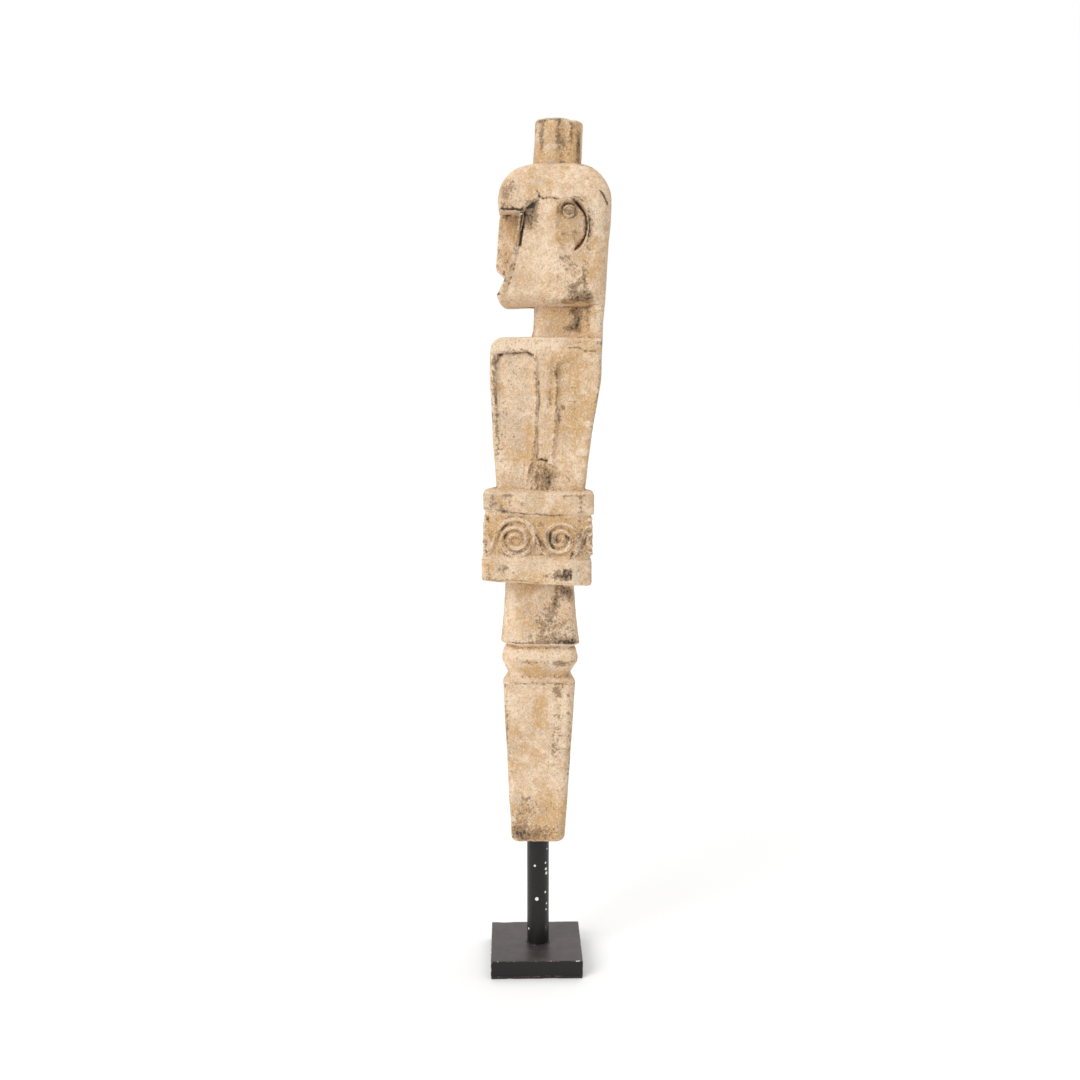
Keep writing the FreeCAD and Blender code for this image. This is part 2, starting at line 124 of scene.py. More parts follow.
class Field:
    """Signed distances on a regular grid, built up from shapes."""

    def __init__(self, low, high, step):
        self.low = np.array(low, float)
        self.step = step
        counts = np.ceil((np.array(high) - self.low) / step).astype(int) + 1
        self.axes = [self.low[i] + step * np.arange(counts[i]) for i in range(3)]
        self.values = np.full(counts, FAR, np.float32)

    def slab(self, bottom, top):
        x, y, z = self.axes
        cut = slice(*np.searchsorted(z, (bottom, top)))
        return x[:, None, None], y[None, :, None], z[None, None, cut], cut

    def add(self, bottom, top, shape):
        x, y, z, cut = self.slab(bottom, top)
        self.values[:, :, cut] = np.minimum(self.values[:, :, cut], shape(x, y, z))

    def cut_away(self, bottom, top, shape):
        x, y, z, cut = self.slab(bottom, top)
        self.values[:, :, cut] = np.maximum(self.values[:, :, cut], -shape(x, y, z))

    def surface(self):
        """Vertices and quads of the surface, by naive surface nets."""
        f = self.values
        inside = f < 0
        corners = list(np.ndindex(2, 2, 2))
        shape = np.array(f.shape) - 1
        parts = [inside[i:i + shape[0], j:j + shape[1], k:k + shape[2]]
                 for i, j, k in corners]
        count = sum(part.astype(np.int8) for part in parts)
        active = (count > 0) & (count < 8)
        cells = np.argwhere(active)
        numbers = np.full(active.shape, -1, np.int64)
        numbers[active] = np.arange(len(cells))
        values = {corner: f[tuple((cells + corner).T)] for corner in corners}
        total = np.zeros((len(cells), 3))
        hits = np.zeros(len(cells))
        for start in corners:
            for axis in range(3):
                if start[axis]:
                    continue
                end = tuple(c + (axis == i) for i, c in enumerate(start))
                a, b = values[start], values[end]
                crossing = (a < 0) != (b < 0)
                t = np.where(crossing, a / np.where(crossing, a - b, 1), 0)
                point = np.array(start, float) + np.zeros((len(cells), 3))
                point[:, axis] += t
                total += point * crossing[:, None]
                hits += crossing
        vertices = self.low + self.step * (cells + total / hits[:, None])
        quads = []
        for axis in range(3):
            quads.append(self.quads_across(inside, numbers, axis))
        return vertices, np.concatenate(quads)

    def quads_across(self, inside, numbers, axis):
        """One quad round each grid edge along an axis that crosses the surface."""
        u, v = (axis + 1) % 3, (axis + 2) % 3
        low = [slice(None)] * 3
        high = [slice(None)] * 3
        low[axis], high[axis] = slice(0, -1), slice(1, None)
        a, b = inside[tuple(low)], inside[tuple(high)]
        edges = np.argwhere(a != b)
        edges = edges[(edges[:, u] > 0) & (edges[:, v] > 0)
                      & (edges[:, u] < inside.shape[u] - 1)
                      & (edges[:, v] < inside.shape[v] - 1)]
        step_u = np.eye(3, dtype=int)[u]
        step_v = np.eye(3, dtype=int)[v]
        ring = [edges - step_u - step_v, edges - step_v, edges, edges - step_u]
        quads = np.stack([numbers[tuple(cell.T)] for cell in ring], axis=1)
        leaving = a[tuple(edges.T)]
        return np.where(leaving[:, None], quads, quads[:, ::-1])

    def sample(self, grid, points):
        """Values of a grid at points, by trilinear interpolation."""
        place = (points - self.low) / self.step
        limit = np.array(grid.shape) - 1.001
        place = np.clip(place, 0, limit)
        cell = place.astype(int)
        t = place - cell
        total = np.zeros(len(points))
        for corner, weight in corners_of(cell, t):
            total += weight * grid[tuple(corner.T)]
        return total

    def fill_around(self, radius):
        """The share of wood within a radius of each grid point."""
        share = (self.values < 0).astype(np.float32)
        reach = max(1, round(radius / self.step))
        for axis in range(3):
            share = running_mean(running_mean(share, reach, axis), reach, axis)
        return share


def running_mean(grid, reach, axis):
    """Mean over 2 * reach + 1 neighbours along an axis."""
    grid = np.moveaxis(grid, axis, 0)
    padded = np.concatenate([np.zeros((reach + 1,) + grid.shape[1:], np.float32), grid,
                             np.zeros((reach,) + grid.shape[1:], np.float32)])
    total = np.cumsum(padded, axis=0, dtype=np.float32)
    mean = (total[2 * reach + 1:] - total[:-2 * reach - 1]) / (2 * reach + 1)
    return np.moveaxis(mean, 0, axis)


# ---------------------------------------------------------------- the carving

FOOT = 131.5
BELT_FOOT = 392.5
BELT_TOP = 478.0
FRIEZE_FOOT = 417.5
FRIEZE_TOP = 457.5
CHEST_TOP = 620.0
JAW = 648.0
DOME_SPRING = 742.0
DOME_TOP = 778.6
KNOT_TOP = 818.0
SOCKET_RADIUS = 11.5
SOCKET_TOP = 192.0
GRID_LOW = (-55, -56, 128)
GRID_HIGH = (55, 71, 824)

# (height, side) of the square sections, and how far back their middle stands.
PEG_SIDES = [(FOOT, 52.0), (294.0, 69.0), (298.5, 55.5), (314.5, 71.6), (319, 72.4),
             (325, 69.0), (327.5, 64.0), (329.2, 64.5), (332.3, 74.7), (360, 68.5),
             (BELT_FOOT, 64.5)]
PEG_SHIFTS = [(FOOT, 0.0), (294, 1.4), (332, 2.1), (BELT_FOOT, 1.2)]
PEG_FRONT_CHAMFERS = [(296, 3.0), (300, 5.0), (315, 13.0), (333, 14.0), (362, 12.5),
                      (BELT_FOOT, 5.0)]

CHEST_HALF_WIDTHS = [(BELT_TOP, 41.0), (CHEST_TOP, 47.0)]
CHEST_FRONTS = [(480, -38.6), (502, -40.2), (530, -42.0), (558, -42.8), (588, -44.4),
                (604, -43.6), (CHEST_TOP, -42.5)]
CHEST_BACKS = [(480, 44.2), (517, 48.2), (548, 52.4), (573, 57.2), (580, 58.4),
               (CHEST_TOP, 59.4)]

FACE_FRONTS = [(JAW - 2, -30.5), (652, -35.4), (658, -37.6), (662, -35.2), (681, -27.0),
               (706, -20.8), (731, -16.4), (731.6, -16.4), (732.6, -35.6),
               (DOME_SPRING, -36.4)]
NOSE_FRONTS = [(674, -31), (677.5, -33.5), (682, -38.6), (686, -39.0), (707, -37.4),
               (728, -35.6), (734, -34.0)]
HEAD_BACKS = [(600, 59.6), (635, 60.4), (652, 62.2), (685, 63.8), (707, 64.8),
              (720, 66.2), (735, 67.0), (DOME_SPRING, 67.0)]


def far_side_taper(x):
    """The blank narrows a little towards the right side, from its middle on."""
    return 1 + 0.0036 * np.maximum(15 - x, 0)


def peg_and_pillar(x, y, z):
    """Tapered peg, moulding and flared pillar: squares with cut corners."""
    half = soft_curve_at(z, PEG_SIDES, 0.6) / 2
    back = (y - curve_at(z, PEG_SHIFTS)) * far_side_taper(x)
    side = np.abs(x)
    wood = smooth_max(side - half, np.abs(back) - half, 3.0)
    front_cut = curve_at(z, PEG_FRONT_CHAMFERS)
    wood = smooth_max(wood, (side - back - 2 * half + front_cut) * ROOT_HALF, 2.0)
    wood = smooth_max(wood, (side + back - 2 * half + 5.0) * ROOT_HALF, 2.0)
    return smooth_max(wood, FOOT - z, 7.0)


SCROLL_PITCH = 41.2
SCROLL_START = -20.1
SCROLL_HEIGHT = 434.5
STEM_RADIUS = 19.3
SCROLL_DEPTH = 2.9
BELT_HALF = 51.3
MAP_STEP = 0.5
MAP_FOOT = -24
MAP_TOP = 26


def frieze_ridges():
    """Ridge lines of two scrolls in (along, up) from the first one's middle.

    A stem waves over the first scroll and under the second; each scroll leaves
    the stem and winds inwards.
    """
    def arc(middle, radius_from, radius_to, angle_from, angle_to, flip):
        turns = np.linspace(0, 1, 60)
        angle = np.radians(angle_from + (angle_to - angle_from) * turns)
        radius = radius_from + (radius_to - radius_from) * turns
        return [(middle + r * math.cos(a), flip * r * math.sin(a))
                for r, a in zip(radius, angle)]

    lines = []
    for middle, flip in ((0.0, 1), (SCROLL_PITCH, -1)):
        lines.append(arc(middle, STEM_RADIUS, STEM_RADIUS, 152, 28, flip))
        lines.append(arc(middle, 17.6, 3.0, 48, -730, flip))
    ends = [lines[0][-1], lines[2][0], lines[2][-1]]
    return lines + [[ends[0], ends[1]],
                    [ends[2], (lines[0][0][0] + 2 * SCROLL_PITCH, lines[0][0][1])]]


def frieze_relief():
    """Depth of the carved scrolls on a fine (along, up) map of one repeat."""
    along = np.arange(0, 2 * SCROLL_PITCH, MAP_STEP)
    up = np.arange(MAP_FOOT, MAP_TOP, MAP_STEP)
    nearest = np.full((len(along), len(up)), NOWHERE)
    for line in frieze_ridges():
        for shift in (-2 * SCROLL_PITCH, 0, 2 * SCROLL_PITCH):
            path = [(a + shift, u) for a, u in line]
            away = distance_to_path(along[:, None], up[None, :], path)
            nearest = np.minimum(nearest, away)
    return SCROLL_DEPTH * step_up(nearest, 0.4, 2.7)


FRIEZE_MAP = frieze_relief()


def frieze_lines(y):
    """Heights of the grooves below and above the frieze; both slope backwards."""
    return FRIEZE_FOOT - 0.036 * y, FRIEZE_TOP - 0.040 * y


def scroll_depth(x, y, z, back):
    """How deep the scrolls are cut at a place on the belt, zero on the ridges."""
    foot, top = frieze_lines(y)
    in_frieze = step_up(z - foot, 0.5, 2.5) * step_up(top - z, 0.5, 2.5)
    along = np.where(np.abs(x) >= np.abs(back),
                     np.where(x > 0, back, 4 * BELT_HALF - back),
                     np.where(back > 0, 2 * BELT_HALF - x, 6 * BELT_HALF + x))
    ring = (along - SCROLL_START) % (2 * SCROLL_PITCH)
    up = z - SCROLL_HEIGHT - MAP_FOOT
    last_along, last_up = np.array(FRIEZE_MAP.shape) - 1
    along_index = np.clip((ring / MAP_STEP).round().astype(int), 0, last_along)
    up_index = np.clip((up / MAP_STEP).round().astype(int), 0, last_up)
    return FRIEZE_MAP[along_index, up_index] * in_frieze


def belt(x, y, z):
    """Three square tiers with grooves between, and scrolls round the middle."""
    frieze_foot, frieze_top = frieze_lines(y)
    groove = 2.6 * np.maximum(bell(z, frieze_foot, 1.7), bell(z, frieze_top, 1.7))
    half = 51.5 - groove
    shift = 1.1 * step_up(z, frieze_top - 1, frieze_top + 1)
    shift = shift - 0.2 - 1.0 * step_up(frieze_foot - z, -1, 1)
    back = (y - shift) * far_side_taper(x)
    side = np.abs(x)
    depth = scroll_depth(x, y, z, back)
    radius = np.where(back > 0, 8.0, 4.0)
    corner_x = side - half + radius
    corner_y = np.abs(back) - half + radius
    wall = np.hypot(np.maximum(corner_x, 0), np.maximum(corner_y, 0)) + np.minimum(
        np.maximum(corner_x, corner_y), 0) - radius
    back_facet = 0.94 * (side - half) + 0.34 * (back - 36 + groove)
    front_facet = 0.84 * (side - half) - 0.54 * (back + 45 - groove)
    wall = smooth_max(wall, smooth_max(back_facet, front_facet, 1.0), 2.0) + depth
    inward = np.clip(half - np.maximum(side, np.abs(back)), 0, 12)
    worn = 0.075 * np.maximum(25 - x, 0)
    top = z - BELT_TOP - 0.24 * inward + 0.012 * y + worn
    wood = smooth_max(wall, top, 3.0)
    return smooth_max(wood, BELT_FOOT - 0.045 * y - z, 3.0)


def chest_side_relief(y, z):
    """How far the chest's side is sunk (or raised, below zero) at (y, z)."""
    arm_front = curve_at(z, [(482, -13.8), (491, -12), (520, -6.1), (538, -3.7),
                             (581, -3.5), (604, -4.3)])
    arm_rear = curve_at(z, [(482, 15.5), (509, 14.4), (538, 17.3), (573, 18.5),
                            (599, 18.9), (612, 22)])
    shoulder = curve_at(y, [(-45, 606), (-31, 606.4), (-9.5, 608.1), (-4.3, 604.5),
                            (20, 600), (26, 604), (40, 605), (55, 601)])
    below = step_up(shoulder - z, 0, 1.6)
    front_fade = curve_at(z, [(490, 0.6), (530, 1.4), (600, 4.2)])
    front_rim = step_up(y, -39, -35)
    front = front_fade * below * front_rim * step_up(arm_front - y, 0, 1.8)
    rear_fade = curve_at(z, [(490, 0.5), (540, 1.6), (600, 2.6)])
    soft_below = step_up(shoulder - z, 0, 7)
    rear = rear_fade * soft_below * step_up(y - arm_rear, 0, 1.6)
    relief = front + rear * step_up(-y, -57, -50)
    length = step_up(z, 504, 512) * step_up(-z, -606, -590)
    front_ridge = bell(y - arm_front, 2.3, 1.9) * step_up(-z, -608, -602)
    rear_ridge = bell(y - arm_rear, -1.6, 1.7) * length
    relief -= 1.9 * front_ridge * step_up(z, 486, 500) + 1.9 * rear_ridge
    groove = near_path(y, z, [(-0.2, 598), (0.4, 582), (1.7, 565), (0.4, 548),
                              (-0.3, 528), (-0.8, 510)], 1.3)
    broken = 0.75 + 0.35 * np.sin(z / 5.3) * np.sin(z / 13.0)
    relief += 1.5 * broken * groove * length
    relief += 1.6 * near_path(y, z, [(16.0, 600), (14.0, 584), (11.2, 548)], 3.4)
    cuff = bell(y, 8.0, 5.0) * step_up(z, 509, 513) * step_up(-z, -537, -530)
    relief -= 1.7 * cuff
    relief += near_path(y, z, [(2, 521), (14, 523)], 1.1)
    fan = step_up(y - arm_front, 1, 3) * step_up(arm_rear - y, -1, 2)
    relief -= 1.4 * fan * step_up(508 - z, 0, 2)
    fingers = [((-2.2, 505), (-5.8, 480)), ((1.4, 506), (-0.4, 480)),
               ((4.3, 507), (4.4, 480)), ((7.6, 507), (9.2, 480)),
               ((10.6, 504), (14.2, 480)), ((-4.5, 500), (-10.8, 480))]
    for line in fingers:
        relief += 1.3 * near_path(y, z, line, 1.1)
    relief += near_path(y, z, [(-2.6, 506), (1, 508), (5.7, 509), (12.7, 505)], 1.1)
    cracks = [[(25.9, 613.3), (34.7, 612.7), (40.4, 610.4), (43.3, 608.1), (56, 608.1)],
              [(37.0, 604.1), (40.4, 604.6), (44, 607.5)], [(20.9, 559), (24.9, 555.5)]]
    for crack in cracks:
        relief += 1.2 * near_path(y, z, crack, 0.9)
    return relief


def chest(x, y, z):
    """Torso with sunk side panels, an arm down each side and a flat back."""
    relief = chest_side_relief(y, z)
    half = curve_at(z, CHEST_HALF_WIDTHS) - relief
    side = np.abs(x) - half
    front = curve_at(z, CHEST_FRONTS) - y
    back = y - soft_curve_at(z, CHEST_BACKS, 4)
    arms = front_relief(x, z)
    wood = smooth_max(side, front + arms, 7.0)
    wood = smooth_max(wood, back, 6.0)
    top = z - CHEST_TOP - 0.5 * np.cos(y / 16.0)
    wood = smooth_max(wood, top, 5.0)
    rounding = np.hypot(np.maximum(-y - 30, 0), np.maximum(z - 606, 0)) - 14.4
    return smooth_max(wood, rounding, 1.0)


def front_relief(x, z):
    """The chest's front: a shallow sunk panel framed by shoulders and flanks."""
    side = np.abs(x)
    panel = step_up(36 - side, 0, 3) * step_up(602 - z, 0, 2)
    fade = curve_at(z, [(485, 0.5), (540, 1.6), (600, 3.2)])
    breast = 1.8 * bell(np.hypot(side - 17, (z - 574) * 0.9), 0, 9)
    spine = 1.1 * bell(side, 0, 1.4) * step_up(560 - z, 0, 20)
    navel = 2.2 * bell(np.hypot(side, z - 515), 0, 3.2)
    return fade * panel - breast + spine + navel


def neck(x, y, z):
    """Round-cornered neck, with the flat column up the back behind it."""
    side = np.abs(x)
    flare = curve_at(z, [(619, 3.2), (627, 0.8), (640, 0), (650, 0)])
    wood = smooth_max(side - 27 - flare, -3.2 - flare - y, 12.0)
    wood = smooth_max(wood, y - 52, 4.0)
    column = smooth_max(side - 34, 46.5 - y, 8.0)
    column = smooth_max(column, y - curve_at(z, HEAD_BACKS), 6.0)
    wood = smooth_min(wood, column, 7.0)
    return np.maximum(wood, np.maximum(614 - z, z - 668))


def head_side_relief(y, z):
    """How far the head's side is sunk at (y, z): temple, cheek and ear."""
    brow_line = curve_at(y, [(-40, 733), (-13.4, 732.5), (-10.6, 736.7), (-5.2, 739.9),
                             (-0.4, 743), (1.3, 747.5), (3.4, 744), (11, 743.5),
                             (18.5, 742.6), (30, 744)])
    below_brow = step_up(brow_line - z, 0, 1.4)
    cheek = 1.6 * below_brow * step_up(14 - y, 0, 14)
    rim = curve_at(z, [(650, -35.5), (660.5, -32.1), (675, -27), (691, -22.4),
                       (706, -19), (727, -15.6), (733, -15.0)])
    behind = y - rim
    groove = curve_at(z, [(655, 0), (690, 0.2), (701, 1.2), (712, 2.4), (733, 2.8)])
    for spot in (668, 673, 681, 685):
        groove = groove + 1.4 * bell(z, spot, 1.2)
    relief = cheek * step_up(behind, 1.8, 3.2)
    relief += groove * bell(behind, 3.2, 1.2) * (z < 733)
    lip = curve_at(y, [(-13, 715.4), (1, 720.7)])
    temple = step_up(z - lip, 0, 1.8) * below_brow
    slope = np.clip(1 - (behind - 2.5) / 15.0, 0, 1) * step_up(behind, 1.8, 3.2)
    relief += 3.0 * temple * slope
    relief += near_path(y, z, [(-14.9, 714), (-9.5, 714.6), (-4.1, 716.6), (0, 719)], 1)
    relief += ear_relief(y, z)
    cracks = [[(-1, 750.5), (1.3, 746.1), (4.5, 743.4)],
              [(56.5, 750.2), (59.8, 745), (62.5, 738.6)], [(44, 763), (47, 759.5)],
              [(4.5, 743.4), (11, 744), (18.5, 742.6)],
              [(-32.2, 734.6), (-26.8, 733.4), (-21.4, 734.4), (-14, 733.2)]]
    for crack in cracks:
        relief += 1.1 * near_path(y, z, crack, 0.9)
    return relief


EAR_CRACK = [(31.5, 742.2), (35.8, 740.1), (39.1, 735.9), (42.8, 731.7), (45.0, 726.4),
             (45.9, 720.1), (45.0, 713.7), (42.5, 708.4), (38.1, 703.1), (33.4, 698.4)]
EAR_FRONT = [(31.4, 743), (25, 744), (18.5, 741.5), (17.5, 735), (16, 722), (14.5, 708),
             (15, 699), (20, 695.5), (27, 695), (33.4, 698.4)]


def ear_relief(y, z):
    """A hollow with a deep crack behind it and a round boss at its top."""
    crack = distance_to_path(y, z, EAR_CRACK)
    front = distance_to_path(y, z, EAR_FRONT)
    turn = np.arctan2(z - 719, y - 30)
    reach_y = (y - 30.5) / np.where(y > 30.5, 15.0, 15.5)
    inside = step_up(1.0 - np.hypot(reach_y, (z - 719.5) / 24.0), -0.02, 0.06)
    floor = 5.4 * bell(crack, 0, 10.5) + 1.3
    floor = floor * step_up(front, 0, 5.5)
    relief = inside * floor
    width = 1.3 + 0.5 * np.sin(5.1 * turn + 0.7)
    relief += 2.4 * bell(crack, 0, width)
    relief -= 1.2 * bell(crack, 3.4, 1.5) * (1 - inside)
    relief -= 1.6 * bell(front, 0, 2.2) * step_up(z, 710, 728)
    relief -= 3.4 * near_path(y, z, [(20, 699.5), (27, 701.5), (33, 706.5)], 3.6)
    relief -= 1.6 * near_path(y, z, [(20, 713), (27, 709), (33, 714)], 2.8)
    boss = np.hypot(y - 28.2, z - 732.6) + 0.7 * np.sin(3 * turn + y / 3)
    relief = relief * (1 - 0.85 * step_up(6.6 - boss, 0, 1.4))
    relief += 1.3 * bell(boss, 7.2, 1.0)
    relief += bell(boss, 2.4, 1.0) * step_up(z + 0.4 * y, 742, 745)
    return relief


def face_relief(x, z):
    """Front of the face: a sunk heart-shaped field, eyes and a small mouth."""
    side = np.abs(x)
    field = step_up(38.5 - side, 0, 2.2) * step_up(z, 664, 672) * step_up(731 - z, -1, 1)
    eye = np.hypot((side - 21) / 11.5, (z - 713) / 5.2)
    lid = bell(eye, 1.0, 0.16) * 1.4 + step_up(0.8 - eye, 0, 0.3) * 0.9
    mouth = np.hypot(side / 15.0, (z - 665) / 4.6)
    lips = bell(mouth, 0.75, 0.2) * 1.2
    slit = 1.8 * bell(z, 665, 0.9) * step_up(13 - side, 0, 3)
    return 3.4 * field - lid * field - lips + slit


def head(x, y, z):
    """Domed head with an overhanging brow, long straight nose and small jaw."""
    side = np.abs(x)
    rise = np.clip(z - DOME_SPRING, 0, 38.3)
    front = curve_at(z, FACE_FRONTS)
    front = np.where(z > DOME_SPRING, 1.2 - np.sqrt(37.6**2 - np.minimum(rise, 37.5)**2),
                     front)
    back = np.where(z > DOME_SPRING, 26.9 + np.sqrt(40.2**2 - rise**2),
                    curve_at(z, HEAD_BACKS))
    half = np.where(z > DOME_SPRING, 4.5 + np.sqrt(38.6**2 - rise**2),
                    curve_at(z, [(JAW, 31.5), (653, 39.5), (658, 43), (DOME_SPRING, 43.1)]))
    half = half - head_side_relief(y, z)
    corner = curve_at(z, [(658, 3.0), (729, 3.0), (734, 16.0), (790, 22.0)])
    face = front - y + face_relief(x, z) * (z < 733)
    wood = smooth_max(side - half, face, corner)
    wood = smooth_max(wood, y - back, curve_at(z, [(650, 12.0), (750, 22.0)]))
    wood = smooth_max(wood, JAW - z, 4.0)
    wood = smooth_max(wood, z - DOME_TOP, 6.0)
    nose_half = curve_at(z, [(676, 9.0), (690, 8.0), (733, 6.0)])
    nose = smooth_max(side - nose_half, curve_at(z, NOSE_FRONTS) - y, 3.0)
    nose = smooth_max(nose, np.maximum(675 - z, z - 736), 1.5)
    nose = np.maximum(nose, y + 5)
    return smooth_min(wood, nose, 1.5)


def topknot(x, y, z):
    """Two upright lobes; the rear one is a little lower."""
    lean = curve_at(z, [(775, 0.0), (821, 2.6)])
    front_lobe = (np.hypot(x / 18.5, (y - lean - 11.6) / 17.2) - 1) * 17.2
    front_lobe = smooth_max(front_lobe, -4.6 + 2.6 * (z - 778) / 42 - y, 2.0)
    rear = (np.hypot(x / 15.0, (y - lean - 28.2) / 11.6) - 1) * 11.6
    front_lobe = smooth_max(front_lobe, z - KNOT_TOP - 0.2, 3.5)
    rear = smooth_max(rear, z - KNOT_TOP + 1.8 + 0.05 * (y - 36), 3.5)
    wood = smooth_min(front_lobe, rear, 2.2)
    return np.maximum(wood, 772 - z)


def socket(x, y, z):
    """The blind bore that the post stands in."""
    return np.maximum(np.hypot(x, y) - SOCKET_RADIUS, z - SOCKET_TOP)


def carving_field():
    """The whole carving, built up from its stretches from the foot to the knot."""
    field = Field(GRID_LOW, GRID_HIGH, GRID)
    field.add(GRID_LOW[2], BELT_FOOT + 3, peg_and_pillar)
    field.add(BELT_FOOT - 3, BELT_TOP + 4, belt)
    field.add(BELT_TOP - 3, CHEST_TOP + 6, chest)
    field.add(612, 670, neck)
    field.add(JAW - 6, DOME_TOP + 4, head)
    field.add(770, KNOT_TOP + 4, topknot)
    field.cut_away(GRID_LOW[2], SOCKET_TOP + 8, socket)
    return field


CARVING_TRIANGLES = 190000

# How much care for a place adds to the cost of collapsing an edge there, and in
# how many steps from none to full.
CARE_WEIGHT = 1e-4
CARE_LEVELS = 4


def thinned(thing, triangles, care):
    """Collapse edges down to about this many triangles, fewest where care is high."""
    mesh = thing.data
    corners = sum(len(face.vertices) - 2 for face in mesh.polygons)
    if corners <= triangles:
        return
    group = thing.vertex_groups.new(name="care")
    levels = np.clip(care * CARE_LEVELS, 0, CARE_LEVELS).round()
    for level in range(1, CARE_LEVELS + 1):
        chosen = np.flatnonzero(levels == level)
        group.add(chosen.tolist(), level / CARE_LEVELS, "REPLACE")
    modifier = thing.modifiers.new("thin", "DECIMATE")
    modifier.vertex_group = "care"
    modifier.vertex_group_factor = CARE_WEIGHT
    modifier.ratio = triangles / corners
    bpy.context.view_layer.update()
    depsgraph = bpy.context.evaluated_depsgraph_get()
    thing.data = bpy.data.meshes.new_from_object(thing.evaluated_get(depsgraph))
    thing.modifiers.clear()
    thing.vertex_groups.clear()
    bpy.data.meshes.remove(mesh)


def linked_object(name, data):
    thing = bpy.data.objects.new(name, data)
    bpy.context.collection.objects.link(thing)
    return thing


def mesh_object(name, vertices, faces):
    mesh = bpy.data.meshes.new(name)
    mesh.from_pydata((vertices * MM).tolist(), [], faces.tolist())
    mesh.validate()
    return linked_object(name, mesh)


def normals_of(mesh):
    normals = np.zeros(len(mesh.vertices) * 3)
    mesh.vertex_normals.foreach_get("vector", normals)
    return normals.reshape(-1, 3)


def points_of(mesh):
    """Vertex places in millimetres."""
    points = np.zeros(len(mesh.vertices) * 3)
    mesh.vertices.foreach_get("co", points)
    return points.reshape(-1, 3) / MM


def move_points(mesh, points):
    mesh.vertices.foreach_set("co", (points * MM).ravel())
    mesh.update()


def set_mask(mesh, name, values):
    layer = mesh.attributes.new(name, "FLOAT", "POINT")
    layer.data.foreach_set("value", np.clip(values, 0, 4).astype(np.float32))


def weather(points):
    """How far each point of the carving is worn in or swollen, along its normal."""
    drift = rough_noise(points, (30, 30, 60), 11) * 0.7
    tool = rough_noise(points, (7, 7, 14), 23) * 0.35
    grain = rough_noise(points, (2.6, 2.6, 22), 31, 2) * 0.22
    pits = -np.maximum(lattice_noise(points, 3.1, 43) - 0.45, 0) * 0.9
    bore = np.hypot(points[:, 0], points[:, 1]) < SOCKET_RADIUS + 1.5
    amount = drift + tool + grain + pits
    return np.where(bore & (points[:, 2] < SOCKET_TOP + 3), 0.0, amount)


